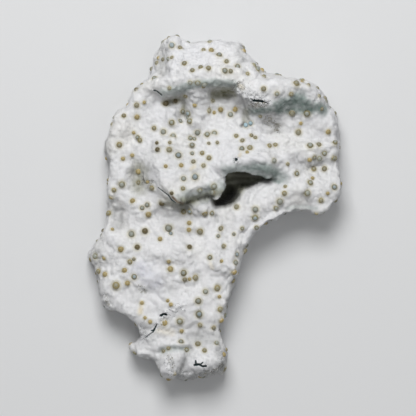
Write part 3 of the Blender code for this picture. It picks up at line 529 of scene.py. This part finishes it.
# Materials: values of the shader, and the mottling of their colour as scale, darkest, brightest
FELT = {"Roughness": 0.88, "Sheen Weight": 0.25, "Sheen Roughness": 0.5, "Specular IOR Level": 0.25}
FELT_GLOW = {
    "Subsurface Weight": 0.3,
    "Subsurface Radius": (1.0, 0.97, 0.94),
    "Subsurface Scale": 1.2 * MM,
}
FELT_MOTTLE = (900, 0.94, 1.04)
FELT_GRAIN = {"Scale": 4200, "Detail": 3, "Distortion": 1.5}
FELT_BUMP = {"Distance": 0.1 * MM, "Strength": 0.6}
BALL = {"Roughness": 0.42, "Specular IOR Level": 0.5}
BALL_MOTTLE = (2600, 0.8, 1.2)
BALL_BUMP = {"Distance": 0.05 * MM, "Strength": 0.5}
SPLINTER = {"Roughness": 0.18, "Specular IOR Level": 0.6}
GRAIN = {"Roughness": 0.4, "Specular IOR Level": 0.6}
CRYSTAL_MOTTLE = (1400, 0.9, 1.08)
MOTTLE_DETAIL = 4
MOTTLE_RANGE = (0.3, 0.7)
FLOOR = {"Base Color": (0.72, 0.725, 0.73, 1), "Roughness": 0.9}

# Camera and light. The floor, the lights and the camera's reach are in metres.
VIEW_CENTRE = (-2.45, -0.35)
VIEW_WIDTH = 145.6
VIEW_HEIGHT = 17.0
CAMERA_UP = 2000.0
CAMERA_REACH = 10
SENSOR = 36.0
FLOOR_SIZE = 6.0
# Lights: place, size, power
LIGHTS = {"key": ((-0.06, 0.42, 0.74), 0.36, 5.5), "fill": ((0.35, -0.4, 0.75), 0.9, 0.85)}
WORLD = {"Color": (0.98, 0.99, 1.0, 1), "Strength": 0.25}

random = np.random.default_rng(SEED)


def clipped(values):
    """The values, held between 0 and 1."""
    return np.clip(values, 0, 1)


def fade(distance, reach):
    """1 at no distance, falling smoothly to 0 at reach."""
    return (1 - clipped(distance / reach) ** 2) ** 2


def mix(colours, other, weight):
    return colours + (np.asarray(other) - colours) * weight[:, None]


def unit(vectors):
    return vectors / np.linalg.norm(vectors, axis=1)[:, None]


def corners_round(places, eased=False):
    """The corners of the grid cell round each place, each with its weight there."""
    cell = np.floor(places).astype(int)
    share = places - cell
    if eased:
        share = share * share * (3 - 2 * share)
    for corner in np.ndindex((2,) * places.shape[1]):
        yield tuple((cell + corner).T), np.prod(np.where(corner, share, 1 - share), axis=1)


lattices = []
for turn in LATTICE_TURNS:
    lattice = random.uniform(-1, 1, (LATTICE_SIZE,) * 3)
    lattices.append((lattice, np.array(Euler(turn).to_matrix())))


def lumps(points, length, shift=0.0):
    """Smooth lumps about that length across, with values about from -1 to 1."""
    total = np.zeros(len(points))
    for lattice, turn in lattices:
        places = points @ turn / length + LATTICE_START + shift
        for corner, weight in corners_round(places, eased=True):
            total += weight * lattice[tuple(np.array(corner) % LATTICE_SIZE)]
    return total / math.sqrt(len(lattices))


def lumps_of(use, points):
    """The lumps for one use, at its strength."""
    strength, length, shift = USES[use]
    return strength * lumps(points, length, shift)


def stretches(line):
    """The straight stretches of a line. A line of one place has one stretch without length."""
    line = np.array(line, float)
    return list(zip(line[:-1], line[1:])) or [(line[0], line[0])]


def nearest_on(points, start, end):
    """The place on a stretch nearest to each point, and how far off it is.

    Points without a height are measured in plan.
    """
    numbers = points.shape[1]
    along = (end - start)[:numbers]
    share = clipped(((points - start[:numbers]) @ along) / max(along @ along, TINY))
    place = start + share[:, None] * (end - start)
    return place, np.linalg.norm(points - place[:, :numbers], axis=1)


def distance_to_line(points, line):
    """Distance from each point to a line, in plan unless the line's places have heights."""
    points = points[:, :len(line[0])]
    return np.min([nearest_on(points, start, end)[1] for start, end in stretches(line)], axis=0)


def inside_outline(points, outline):
    """Which points lie inside a closed outline, in plan."""
    corners = np.array(outline, float)
    inside = np.zeros(len(points), bool)
    for (x1, y1), (x2, y2) in zip(corners, np.roll(corners, -1, axis=0)):
        crosses = (y1 > points[:, 1]) != (y2 > points[:, 1])
        at = x1 + (points[:, 1] - y1) * (x2 - x1) / (y2 - y1 if y2 != y1 else TINY)
        inside ^= crosses & (points[:, 0] < at)
    return inside


def add_object(name, data):
    """A new object in the scene."""
    made = bpy.data.objects.new(name, data)
    bpy.context.scene.collection.objects.link(made)
    return made


def mesh_from(name, solids, faces, tones):
    """A painted mesh of many alike small solids, from the corners of each and the faces of one."""
    count, corners, _ = solids.shape
    triangles = (np.array(faces)[None] + corners * np.arange(count)[:, None, None]).reshape(-1, 3)
    mesh = bpy.data.meshes.new(name)
    mesh.from_pydata(solids.reshape(-1, 3) * MM, [], triangles, shade_flat=False)
    paint(mesh, tones.reshape(-1, 3))
    return mesh


def paint(mesh, colours):
    """Keeps a colour at each vertex."""
    attribute = mesh.color_attributes.new(name=TINT, type="FLOAT_COLOR", domain="POINT")
    rows = np.ones((len(colours), 4), np.float32)
    rows[:, :3] = clipped(colours)
    attribute.data.foreach_set("color", rows.ravel())


def piece_of(mesh, material):
    """A piece of the object that rides on the plate, named as its mesh."""
    piece = add_object(mesh.name, mesh)
    mesh.materials.clear()
    mesh.materials.append(material)
    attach(piece, "root")
    return piece


def read_vectors(items, name):
    flat = np.empty(len(items) * 3, np.float32)
    items.foreach_get(name, flat)
    return flat.reshape(-1, 3).astype(float)


def positions(mesh):
    return read_vectors(mesh.vertices, "co") / MM


def normals(mesh):
    return read_vectors(mesh.vertex_normals, "vector")


def set_positions(mesh, points):
    mesh.vertices.foreach_set("co", (points * MM).astype(np.float32).ravel())
    mesh.update()


def places_in(build):
    """Where the corners of a mesh at work lie, and how far each faces up."""
    points = np.array([vert.co for vert in build.verts]) / MM
    return points, np.array([vert.normal.z for vert in build.verts])


def fused_balls(build):
    """The balls of the solid: each shows corners where five equal edges meet."""
    found = []
    for corner in build.verts:
        lengths = [edge.calc_length() for edge in corner.link_edges]
        if len(lengths) != CORNER_EDGES or max(lengths) - min(lengths) > EDGE_SPREAD * max(lengths):
            continue
        radius = sum(lengths) / CORNER_EDGES / ICOSAHEDRON_EDGE
        ring = sum((edge.other_vert(corner).co for edge in corner.link_edges), Vector()) / CORNER_EDGES
        rise = (corner.co - ring).length / radius
        if abs(rise - ICOSAHEDRON_RISE) > RISE_SPREAD:
            continue
        outward = (corner.co - ring).normalized()
        middle = corner.co - outward * radius
        for ball in found:
            if (ball[0] - middle).length < SAME_BALL * radius:
                ball[1] += outward
                break
        else:
            found.append([middle, outward, radius])
    return [(middle / MM, outward.normalized(), radius / MM) for middle, outward, radius in found]


def distance_in_radii(points, balls):
    """Distance from each point to the middle of the nearest ball, in radii of that ball."""
    tree = KDTree(len(balls))
    for i, ball in enumerate(balls):
        tree.insert(ball[0], i)
    tree.balance()
    found = [tree.find(Vector(point)) for point in points]
    return np.array([distance / balls[nearest][2] for _, nearest, distance in found])


def strip_balls(build, balls):
    """Takes the fused balls off and closes the holes."""
    on_ball = distance_in_radii(places_in(build)[0], balls) < ON_BALL
    build.verts.index_update()
    gone = [face for face in build.faces if all(on_ball[vert.index] for vert in face.verts)]
    bmesh.ops.delete(build, geom=gone, context="FACES")
    loose = [vert for vert in build.verts if not vert.link_faces]
    bmesh.ops.delete(build, geom=loose, context="VERTS")
    edges = [edge for edge in build.edges if edge.is_boundary]
    bmesh.ops.holes_fill(build, edges=edges, sides=0)
    bmesh.ops.triangulate(build, faces=build.faces)


def fused(mesh, rounds):
    """The mesh as one skin of small even faces, softened over some rounds."""
    obj = add_object("work", mesh)
    remesh = obj.modifiers.new("fuse", "REMESH")
    remesh.mode = "VOXEL"
    remesh.voxel_size = VOXEL * MM
    soften = obj.modifiers.new("soften", "SMOOTH")
    soften.factor = SOFTENING
    soften.iterations = rounds
    bpy.context.view_layer.update()
    graph = bpy.context.evaluated_depsgraph_get()
    result = bpy.data.meshes.new_from_object(obj.evaluated_get(graph))
    bpy.data.objects.remove(obj, do_unlink=True)
    return result


def bare_crust():
    """The solid's crust as a fine soft skin that runs below the back, and its balls."""
    build = bmesh.new()
    build.from_mesh(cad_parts[CAD_NODE].data)
    bmesh.ops.remove_doubles(build, verts=build.verts, dist=WELD * MM)
    balls = fused_balls(build)
    strip_balls(build, balls)
    for vert in build.verts:
        if vert.co.z < BACK_LAYER * MM:
            vert.co.z = -BACK_DROP * MM
    mesh = bpy.data.meshes.new("crust")
    build.to_mesh(mesh)
    build.free()
    return fused(mesh, FACET_SMOOTHING), balls


def tree_of(mesh):
    build = bmesh.new()
    build.from_mesh(mesh)
    tree = BVHTree.FromBMesh(build)
    build.free()
    return tree


def random_look():
    return list(LOOKS)[random.choice(len(LOOKS), p=LOOK_SHARES)]


def place_balls(mesh, solid_balls):
    """All balls to show: (middle, outward, radius, look)."""
    tree = tree_of(mesh)
    shown, same = [], {}
    known = [(x, y, radius, look) for look, group in BALLS.items() for x, y, radius in group]
    for middle, outward, radius in solid_balls:
        start = middle + outward * (radius + BALL_SEARCH)
        away = [math.hypot(x - middle.x, y - middle.y) for x, y, _, _ in known]
        if min(away) < BALL_MATCH and outward.z > BALL_SEEN:
            same[away.index(min(away))] = (start, -outward)
        else:
            add_ball(shown, tree, start, -outward, radius / BALL_SWELL, random_look())
    for i, (x, y, seen_radius, look) in enumerate(known):
        start, towards = Vector((x, y, ABOVE_ALL)), DOWN
        if tree.ray_cast(start * MM, towards)[0] is None and i in same:
            start, towards = same[i]
        add_ball(shown, tree, start, towards, seen_radius, look)
    add_wall_balls(shown, tree, mesh)
    return shown


def add_ball(shown, tree, start, towards, seen_radius, look):
    """A ball where a ray meets the crust, sunk so that a disc of the seen radius shows."""
    place, outward, _, _ = tree.ray_cast(start * MM, towards)
    if place is None:
        return
    outward = (outward - towards).normalized()
    radius = max(seen_radius * BALL_SWELL, BALL_RADIUS_LEAST)
    middle = place / MM + outward * (BALL_RISE - BALL_SUNK * radius)
    clear = middle.z > radius + BALL_CLEARANCE
    if clear and all((middle - other[0]).length > BALL_CROWDING * (radius + other[2]) for other in shown):
        shown.append((middle, outward, radius, look))


def add_wall_balls(shown, tree, mesh):
    """Balls strewn over the side walls, which the photograph doesn't show."""
    points, outward = positions(mesh), normals(mesh)
    wall = np.flatnonzero((points[:, 2] > WALL_LOWEST) & (np.abs(outward[:, 2]) < WALL_SLOPE))
    beside = np.isnan(height_grid(mesh)[1])
    for _ in range(WALL_REACH):
        beside = neighbours(beside, True).any(axis=0) | beside
    cell = np.round((points[wall, :2] + GRID_HALF) / GRID_STEP).astype(int)
    wall = wall[beside[tuple(cell.T)]]
    for i in random.choice(wall, WALL_BALLS, replace=False):
        look = random_look()
        seen_radius = random.uniform(*WALL_BALL_RADII)
        start = Vector(points[i] + outward[i] * WALL_SEARCH)
        add_ball(shown, tree, start, -Vector(outward[i]), seen_radius, look)


def height_grid(mesh):
    """Heights of the face on a grid of places; no number where the crust isn't."""
    tree = tree_of(mesh)
    xs, ys = (np.arange(-half, half + GRID_STEP / 2, GRID_STEP) for half in GRID_HALF)
    heights = np.full((len(xs), len(ys)), np.nan)
    for i, j in np.ndindex(heights.shape):
        place = tree.ray_cast(Vector((xs[i], ys[j], ABOVE_ALL)) * MM, DOWN)[0]
        if place is not None:
            heights[i, j] = place.z / MM
    return np.stack(np.meshgrid(xs, ys, indexing="ij"), axis=-1), heights


def neighbours(grid, beyond):
    """The four neighbours of each place of a grid, with a value for those beyond its rim."""
    wide = np.pad(grid, 1, constant_values=beyond)
    return np.stack([wide[:-2, 1:-1], wide[2:, 1:-1], wide[1:-1, :-2], wide[1:-1, 2:]])


def level(heights):
    """The mean height of the known neighbours of each grid place."""
    around = neighbours(heights, np.nan)
    known = ~np.isnan(around)
    return np.where(known, around, 0).sum(axis=0) / np.maximum(known.sum(axis=0), 1)


def lay_patch(places, heights, inside, lines):
    """Lays the face afresh inside an outline, as a soft skin from its rim through the lines."""
    inside = inside & ~np.isnan(heights)
    free = inside.copy()
    for line in lines:
        for start, end in stretches(line):
            foot, away = nearest_on(places.reshape(-1, 2), start, end)
            near = (away < LINE_REACH).reshape(heights.shape) & inside
            heights[near] = foot[:, 2].reshape(heights.shape)[near]
            free &= ~near
    rows, columns = np.where(inside)
    window = np.s_[rows.min() - 1:rows.max() + 2, columns.min() - 1:columns.max() + 2]
    part, free, inside = heights[window], free[window], inside[window]
    part[free] = np.mean(part[inside & ~free] if lines else part[free])
    for _ in range(LAY_ROUNDS):
        part[free] = level(part)[free]
    for _ in range(SOFTEN_ROUNDS):
        part[inside] = level(part)[inside]


def patched(mesh):
    """Lays the patches and moves what is seen of the crust there onto them."""
    places, old = height_grid(mesh)
    new = old.copy()
    patches = np.zeros(old.shape, bool)
    for outline, lines in PATCHES.values():
        inside = inside_outline(places.reshape(-1, 2), outline).reshape(old.shape)
        lay_patch(places, new, inside, lines)
        patches |= inside
    for _ in range(PAD_ROUNDS):
        new = np.where(np.isnan(new), level(new), new)
        old = np.where(np.isnan(old), level(old), old)
    points = positions(mesh)
    height, within = np.zeros(len(points)), np.zeros(len(points))
    lowest = np.full(len(points), np.inf)
    for corner, weight in corners_round((points[:, :2] + GRID_HALF) / GRID_STEP):
        height += weight * new[corner]
        within += weight * patches[corner]
        lowest = np.minimum(lowest, old[corner])
    # All of the face moves, down to one depth under it, and nothing lies so low as two.
    shown = clipped((points[:, 2] - lowest) / SEEN_DEPTH + 2) * within
    points[:, 2] += (height - points[:, 2]) * shown
    set_positions(mesh, points)


def drawn_forward(mesh):
    """Draws the edges of the ledges forward."""
    points = positions(mesh)
    for line, reach, shift in SHIFTS.values():
        points += np.array(shift) * fade(distance_to_line(points, line), reach)[:, None]
    set_positions(mesh, points)


def relieved(mesh):
    """Gives the crust its felted lumps, rises, creases and broken places."""
    points, outward = positions(mesh), normals(mesh)
    push = sum(depth * lumps(points, length) for length, depth in SWELLS)
    for length, depth in TUFTS:
        creased = np.sqrt(lumps(points, length, TUFT_SHIFT) ** 2 + TUFT_CREASE)
        push += depth * (creased * 2 - TUFT_LEVEL)
    up = clipped(outward[:, 2] * RELIEF_FACING)
    wander = 1 + lumps_of("relief_edge", points)
    lift = np.zeros(len(points))
    for line, half_width, rise in RELIEF.values():
        lift += rise * up * fade(distance_to_line(points, line) * wander, half_width)
    cells = np.abs(lumps_of("cells", points)) + np.abs(lumps_of("fine_cells", points))
    push += broken_share(points) * (cells - BREAK_LEVEL)
    points = points + outward * push[:, None]
    points[:, 2] += lift
    # Places less than 1 below the highest, or over it, are pressed softly under it.
    over = np.maximum(points[:, 2] - HIGHEST + 1, 0)
    points[:, 2] += np.tanh(over) - over
    set_positions(mesh, points)


def collared(mesh, balls):
    """Raises a low collar of felt round each ball."""
    points = positions(mesh)
    height, middle, width = COLLAR
    reach = (distance_in_radii(points, balls) - middle) / width
    push = np.where(reach < COLLAR_END, height * np.exp(-reach * reach), 0)
    set_positions(mesh, points + normals(mesh) * push[:, None])


def share_near(points, marks, wander=1):
    """How near each place is to the closest mark, from 0 out of its reach to 1 on its line."""
    shares = [fade(distance_to_line(points, line) * wander, half) for line, half in marks.values()]
    return np.max(shares, axis=0)


def broken_share(points):
    """How broken the crust is at each place, from 0 to 1."""
    wander = 1 + lumps_of("break_edge", points)
    return clipped(share_near(points, BROKEN, wander) * BROKEN_FULLNESS)


def speckled_share(points):
    """How thickly the dark grains lie at each place, from 0 to 1."""
    return clipped(share_near(points, SPECKLED) * SPECKLED_FULLNESS)


def crack_depth(points, upward):
    """How deep the cracks are cut at each place, and how dark they are."""
    depth, dark = np.zeros(len(points)), np.zeros(len(points))

    def cut(near, deep, reach, edge):
        np.maximum(depth, deep * upward * fade(near, reach), out=depth)
        np.maximum(dark, upward * clipped((edge - near) / CRACK_BLUR + 0.5), out=dark)

    ragged = 1 + lumps_of("crack_edge", points)
    for name, (line, half_width, deep) in CRACKS.items():
        near = distance_to_line(points, line) * ragged
        near += np.maximum(LOWEST.get(name, BELOW_ALL) - points[:, 2], 0)
        cut(near, deep, half_width * CRACK_REACH, half_width * CRACK_DARK)
    near = distance_to_line(points, [DOT[:2]])
    cut(near, DOT_DEPTH, DOT[2] * DOT_REACH, DOT[2])
    return depth, dark


def refined(mesh):
    """Finer faces along the cracks, the cracks cut in, and the back cut off flat."""
    build = bmesh.new()
    build.from_mesh(mesh)
    lines = [(line, half) for line, half, _ in CRACKS.values()] + [([DOT[:2]], DOT[2])]
    for _ in range(FINE_ROUNDS):
        points, upward = places_in(build)
        near = np.min([distance_to_line(points, line) - half_width for line, half_width in lines], axis=0)
        chosen = (near < FINE_REACH) & (upward > FINE_FACING)
        build.verts.index_update()
        edges = [edge for edge in build.edges if all(chosen[vert.index] for vert in edge.verts)]
        bmesh.ops.subdivide_edges(build, edges=edges, cuts=1, use_grid_fill=True)
    bmesh.ops.triangulate(build, faces=build.faces)
    build.normal_update()
    points, upward = places_in(build)
    depth, _ = crack_depth(points, clipped(upward * CRACK_FACING))
    for vert, drop in zip(build.verts, depth):
        vert.co.z -= drop * MM
    geometry = [*build.verts, *build.edges, *build.faces]
    bmesh.ops.bisect_plane(
        build, geom=geometry, dist=WELD * MM, plane_co=(0, 0, 0), plane_no=(0, 0, 1), clear_inner=True
    )
    rim = [edge for edge in build.edges if edge.is_boundary]
    made = bmesh.ops.holes_fill(build, edges=rim, sides=0)
    back = bmesh.ops.triangulate(build, faces=made["faces"])["faces"]
    bmesh.ops.triangulate(build, faces=build.faces)
    for face in build.faces:
        face.smooth = True
    for face in back:
        face.smooth = False
        for edge in face.edges:
            if any(other.smooth for other in edge.link_faces):
                edge.smooth = False
    build.to_mesh(mesh)
    build.free()
    mesh.update()


def cave_painted_shade(points, outward, wander):
    """The deep hollow's painted shade and lighter painted bands at each place, and how far it shows there.
    """
    edge = distance_to_line(points, CAVE_MOUTH + CAVE_MOUTH[:1])
    covered = outward[:, 2] < CAVE_ROOF
    outside = fade(edge, np.where(covered, CAVE_REACH, CAVE_FADE))
    inside = inside_outline(points, CAVE_MOUTH)
    # The shade is half as strong at the edge of the mouth, and full on the roof within.
    plan = np.where(inside, clipped(0.5 + edge / CAVE_FADE), 0.5 * outside)
    plan = np.where(covered, outside, plan)
    # Painted darker below the hollow's top.
    below = clipped((CAVE_TOP - points[:, 2]) / CAVE_DUSK)
    shade = np.tile(np.array(CAVE_SHADE), (len(points), 1))
    for line, half_width in CAVE_LIT_BANDS:
        shade = mix(shade, CAVE_LIT_BAND, fade(distance_to_line(points, line) * wander, half_width))
    line, half_width = CAVE_FOOT
    shade = mix(shade, CAVE_DEEP_SHADE, fade(distance_to_line(points, line), half_width))
    return shade, clipped(plan * below)


def felt_colours(points, outward, balls):
    """The crust's colour at each place, painted shade in hollows, under ledges and round balls included.
    """
    colours = np.tile(np.array(WHITE), (len(points), 1))
    colours = mix(colours, CREAM, clipped(lumps_of("cream", points)) * CREAM_SHARE)
    colours = mix(colours, LAVENDER, clipped(lumps_of("lavender", points)) * LAVENDER_SHARE)
    colours *= 1 + lumps_of("tone", points)[:, None]
    # A stain with painted shade round each ball.
    strength, reach = HALO_AND_SHADE
    beyond = np.maximum(distance_in_radii(points, balls) - 1, 0)
    colours = mix(colours, HALO_AND_SHADE_COLOUR, strength * clipped(1 - beyond / reach))
    wander = 1 + lumps_of("stain_and_shade_edge", points) + lumps_of("fine_stain_and_shade_edge", points)
    mottle = 1 + lumps_of("mottle", points) + lumps_of("fine_mottle", points)
    # Stains and painted shade, each faded out from its line.
    for name, (line, half_width, strength, colour) in STAINS_AND_SHADE.items():
        share = fade(distance_to_line(points, line) * wander, half_width * STAIN_AND_SHADE_REACH)
        share *= clipped(points[:, 2] - LOWEST.get(name, BELOW_ALL))
        colours = mix(colours, colour, clipped(strength * share * mottle))
    # Painted shade in the deep hollow.
    colours = mix(colours, *cave_painted_shade(points, outward, wander))
    grains = clipped(lumps_of("speckles", points) - SPECKLE_LEVEL)
    colours = mix(colours, SPECKLE_COLOUR, SPECKLE_STRENGTH * speckled_share(points) * grains)
    # Painted shade, darker towards the back where the crust nears the floor.
    colours = mix(colours, GREY, clipped((LOW_SHADE_HEIGHT - points[:, 2]) / LOW_SHADE_HEIGHT) * LOW_SHADE_STRENGTH)
    _, dark = crack_depth(points, clipped(outward[:, 2] * CRACK_FACING + CRACK_SPREAD))
    return mix(colours, CRACK_COLOUR, dark)


def sides(axis):
    """Two directions square to each axis and to each other, turned at random."""
    side = unit(np.cross(axis, random.normal(0, 1, axis.shape)))
    return side, np.cross(axis, side)


def nap(mesh, colours, balls):
    """Short fibres all over the felt, as thin closed spikes, with the colour of their place."""
    corners = np.array([face.vertices[:] for face in mesh.polygons])
    points, outward = positions(mesh), normals(mesh)
    ends = points[corners]
    middle = ends.mean(axis=1)
    _, dark = crack_depth(middle, np.ones(len(middle)))
    weight = np.linalg.norm(np.cross(ends[:, 1] - ends[:, 0], ends[:, 2] - ends[:, 0]), axis=1)
    weight *= (middle[:, 2] > NAP_LOWEST) & (dark < NAP_DARKEST)
    count = NAP_PIECES * NAP_PER_PIECE
    picked = random.choice(len(weight), int(count * NAP_SPARE), p=weight / weight.sum())
    share = random.dirichlet((1, 1, 1), len(picked))
    root, lean, tone = (
        np.einsum("ij,ijk->ik", share, values[corners[picked]]) for values in (points, outward, colours)
    )
    keep = np.flatnonzero(distance_in_radii(root, balls) > 1)[:count]
    root, lean, tone = root[keep], lean[keep], tone[keep]
    combed = np.stack([lumps_of(use, root) for use in ("comb_x", "comb_y", "comb_z")], axis=1)
    lean = unit(lean * NAP_UPRIGHT + combed + random.normal(0, NAP_STRAY, root.shape))
    length = random.uniform(*NAP_LENGTH, len(root)) * (1 + lumps_of("nap_length", root))
    side, other = sides(lean)
    base = root - lean * NAP_ROOT
    rows = []
    for turn in range(3):
        angle = turn * 2 * math.pi / 3
        rows.append(base + NAP_BASE * (math.cos(angle) * side + math.sin(angle) * other))
    rows.append(root + lean * length[:, None])
    spikes = np.stack(rows, axis=1)
    faces = [(0, 2, 1), (0, 1, 3), (1, 2, 3), (2, 0, 3)]
    order = np.argsort(root[:, 1], kind="stable")
    for number, part in enumerate(np.array_split(order, NAP_PIECES)):
        name = f"okenite_nap_{number + 1}"
        yield mesh_from(name, spikes[part], faces, np.repeat(tone[part], len(rows), axis=0))


def ball_mesh(balls):
    """All the balls, each a little uneven, with a crown and a ring of another tone."""
    template = bmesh.new()
    bmesh.ops.create_icosphere(template, subdivisions=BALL_FINENESS, radius=1)
    sphere = np.array([vert.co for vert in template.verts])
    faces = [[vert.index for vert in face.verts] for face in template.faces]
    template.free()
    shapes, tones = [], []
    for number, (middle, outward, radius, look) in enumerate(balls):
        turn = np.array(outward.to_track_quat("Z", "Y").to_matrix())
        # Each ball takes its lumps from a stretch of its own.
        shape = sphere * (1 + lumps_of("ball_shape", sphere + 7 * number)[:, None])
        shapes.append((shape * radius) @ turn.T + np.array(middle))
        crown, ring = LOOKS[look]
        bright = 1 + random.uniform(-BALL_TONE, BALL_TONE)
        ring_start = random.uniform(*RING_STARTS)
        across = np.hypot(sphere[:, 0], sphere[:, 1]) + lumps_of("ball_ring", sphere * 2 + number)
        colours = mix(np.tile(crown, (len(sphere), 1)), ring, clipped((across - ring_start) / RING_BLUR))
        felted = clipped((across - RIM_START) / RIM_BLUR) * RIM_STRENGTH
        tones.append(mix(colours * bright, WHITE, felted))
    mesh = mesh_from("gyrolite_balls", np.array(shapes), faces, np.array(tones))
    mesh.polygons.foreach_set("use_smooth", np.ones(len(mesh.polygons), bool))
    return mesh


def crystals(mesh, weight, count, half_lengths, half_widths):
    """The corners of little pointed crystals strewn over the crust by weight."""
    picked = random.choice(len(weight), count, p=weight / weight.sum())
    root = positions(mesh)[picked]
    axis = unit(normals(mesh)[picked] * CRYSTAL_UPRIGHT + random.normal(0, CRYSTAL_STRAY, root.shape))
    side, other = sides(axis)
    half = random.uniform(*half_lengths, (count, 1))
    wide = random.uniform(*half_widths, (count, 1))
    rows = [root + axis * half, root - axis * half]
    for angle in CRYSTAL_ANGLES:
        rows.append(root + wide * (math.cos(angle) * side + CRYSTAL_FLATNESS * math.sin(angle) * other))
    corners = np.stack(rows, axis=1)
    corners[:, :, 2] = np.maximum(corners[:, :, 2], CRYSTAL_LOWEST)
    return corners


def crystal_mesh(name, corners, tones):
    """Crystals with two tips and four sides, each in its own tone."""
    belt = [(2, 3), (3, 4), (4, 5), (5, 2)]
    faces = [(0, i, j) for i, j in belt] + [(1, j, i) for i, j in belt]
    return mesh_from(name, corners, faces, np.repeat(tones, corners.shape[1], axis=0))


def splinter_mesh(mesh):
    """Bright splinters where the crust is broken."""
    points, outward = positions(mesh), normals(mesh)
    _, dark = crack_depth(points, np.ones(len(points)))
    weight = broken_share(points) * (points[:, 2] > SPLINTER_LOWEST) * (dark < SPLINTER_DARKEST)
    corners = crystals(mesh, weight * np.clip(outward[:, 2], *SPLINTER_FACING), *SPLINTERS)
    dull_share, dull, bright = SPLINTER_TONES
    tones = np.where(random.uniform(0, 1, len(corners)) < dull_share, dull, bright)
    return crystal_mesh("okenite_splinters", corners, tones[:, None] * np.array(SPLINTER_COLOUR))


def grain_mesh(mesh):
    """Dark grains in the felt."""
    weight = speckled_share(positions(mesh)) * (normals(mesh)[:, 2] > GRAIN_FACING)
    corners = crystals(mesh, weight, *GRAINS)
    tones = np.array(GRAIN_COLOURS)[random.choice(len(GRAIN_COLOURS), len(corners))]
    return crystal_mesh("gyrolite_grains", corners, tones)


def set_inputs(node, values):
    """Puts each value straight on its socket."""
    for name, value in values.items():
        node.inputs[name].default_value = value


def plain_material(name, values):
    """A material with one shader, and the parts to work on: nodes, links and that shader."""
    material = bpy.data.materials.new(name)
    material.use_nodes = True
    nodes, links = material.node_tree.nodes, material.node_tree.links
    shader = nodes["Principled BSDF"]
    set_inputs(shader, values)
    return material, nodes, links, shader


def add_noise(nodes, links, values):
    """Noise through the object's own space."""
    place = nodes.new("ShaderNodeTexCoord")
    noise = nodes.new("ShaderNodeTexNoise")
    set_inputs(noise, values)
    links.new(place.outputs["Object"], noise.inputs["Vector"])
    return noise.outputs["Fac"]


def tinted_material(name, values, mottle, grain=None, bump=None):
    """A material in the vertex colour, mottled by fine noise.

    Its bump comes from that noise, or from noise of its own where a grain is given.
    """
    material, nodes, links, shader = plain_material(name, values)
    scale, darkest, brightest = mottle
    lowest, highest = MOTTLE_RANGE
    tint = nodes.new("ShaderNodeVertexColor")
    tint.layer_name = TINT
    noise = add_noise(nodes, links, {"Scale": scale, "Detail": MOTTLE_DETAIL})
    share = nodes.new("ShaderNodeMapRange")
    set_inputs(share, {"From Min": lowest, "From Max": highest, "To Min": darkest, "To Max": brightest})
    links.new(noise, share.inputs["Value"])
    scaled = nodes.new("ShaderNodeVectorMath")
    scaled.operation = "SCALE"
    links.new(tint.outputs["Color"], scaled.inputs[0])
    links.new(share.outputs["Result"], scaled.inputs["Scale"])
    links.new(scaled.outputs["Vector"], shader.inputs["Base Color"])
    if bump:
        uneven = nodes.new("ShaderNodeBump")
        set_inputs(uneven, bump)
        links.new(add_noise(nodes, links, grain) if grain else noise, uneven.inputs["Height"])
        links.new(uneven.outputs["Normal"], shader.inputs["Normal"])
    return material


def make_object():
    """The crust with its nap, its balls, its splinters and its grains."""
    mesh, solid_balls = bare_crust()
    drawn_forward(mesh)
    patched(mesh)
    mesh = fused(mesh, SEAM_SMOOTHING)
    relieved(mesh)
    balls = place_balls(mesh, solid_balls)
    collared(mesh, balls)
    refined(mesh)
    mesh.name = "okenite_crust"
    colours = felt_colours(positions(mesh), normals(mesh), balls)
    paint(mesh, colours)
    felt = tinted_material("okenite_felt", {**FELT, **FELT_GLOW}, FELT_MOTTLE, FELT_GRAIN, FELT_BUMP)
    crust = piece_of(mesh, felt)
    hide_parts(CAD_NODE)
    piece_of(ball_mesh(balls), tinted_material("gyrolite", BALL, BALL_MOTTLE, bump=BALL_BUMP))
    piece_of(splinter_mesh(mesh), tinted_material("okenite_splinter", SPLINTER, CRYSTAL_MOTTLE))
    piece_of(grain_mesh(mesh), tinted_material("gyrolite_grain", GRAIN, CRYSTAL_MOTTLE))
    fibre = tinted_material("okenite_fibre", FELT, FELT_MOTTLE)
    for spikes in nap(mesh, colours, balls):
        piece_of(spikes, fibre)


def make_floor():
    bpy.ops.mesh.primitive_plane_add(size=FLOOR_SIZE)
    floor = bpy.context.object
    floor.name = "floor"
    floor.data.materials.append(plain_material("floor", FLOOR)[0])


def add_light(name, place, size, power):
    """A square soft light that faces the middle of the object."""
    lamp = bpy.data.lights.new(name, "AREA")
    lamp.shape = "SQUARE"
    lamp.size = size
    lamp.energy = power
    light = add_object(name, lamp)
    light.location = place
    light.rotation_euler = (-Vector(place)).to_track_quat("-Z", "Y").to_euler()


def make_stage():
    """The floor, the lights, the sky and the camera."""
    make_floor()
    for name, values in LIGHTS.items():
        add_light(name, *values)
    world = bpy.data.worlds.new("studio")
    world.use_nodes = True
    set_inputs(world.node_tree.nodes["Background"], WORLD)
    bpy.context.scene.world = world
    data = bpy.data.cameras.new("camera")
    data.sensor_width = SENSOR
    data.lens = SENSOR * (CAMERA_UP - VIEW_HEIGHT) / VIEW_WIDTH
    data.clip_end = CAMERA_REACH
    camera = add_object("camera", data)
    camera.location = Vector((*VIEW_CENTRE, CAMERA_UP)) * MM
    bpy.context.scene.camera = camera
    bpy.context.scene.view_settings.view_transform = "Standard"


for name in ("Cube", "Light", "Camera"):
    if name in bpy.data.objects:
        bpy.data.objects.remove(bpy.data.objects[name], do_unlink=True)
make_object()
make_stage()
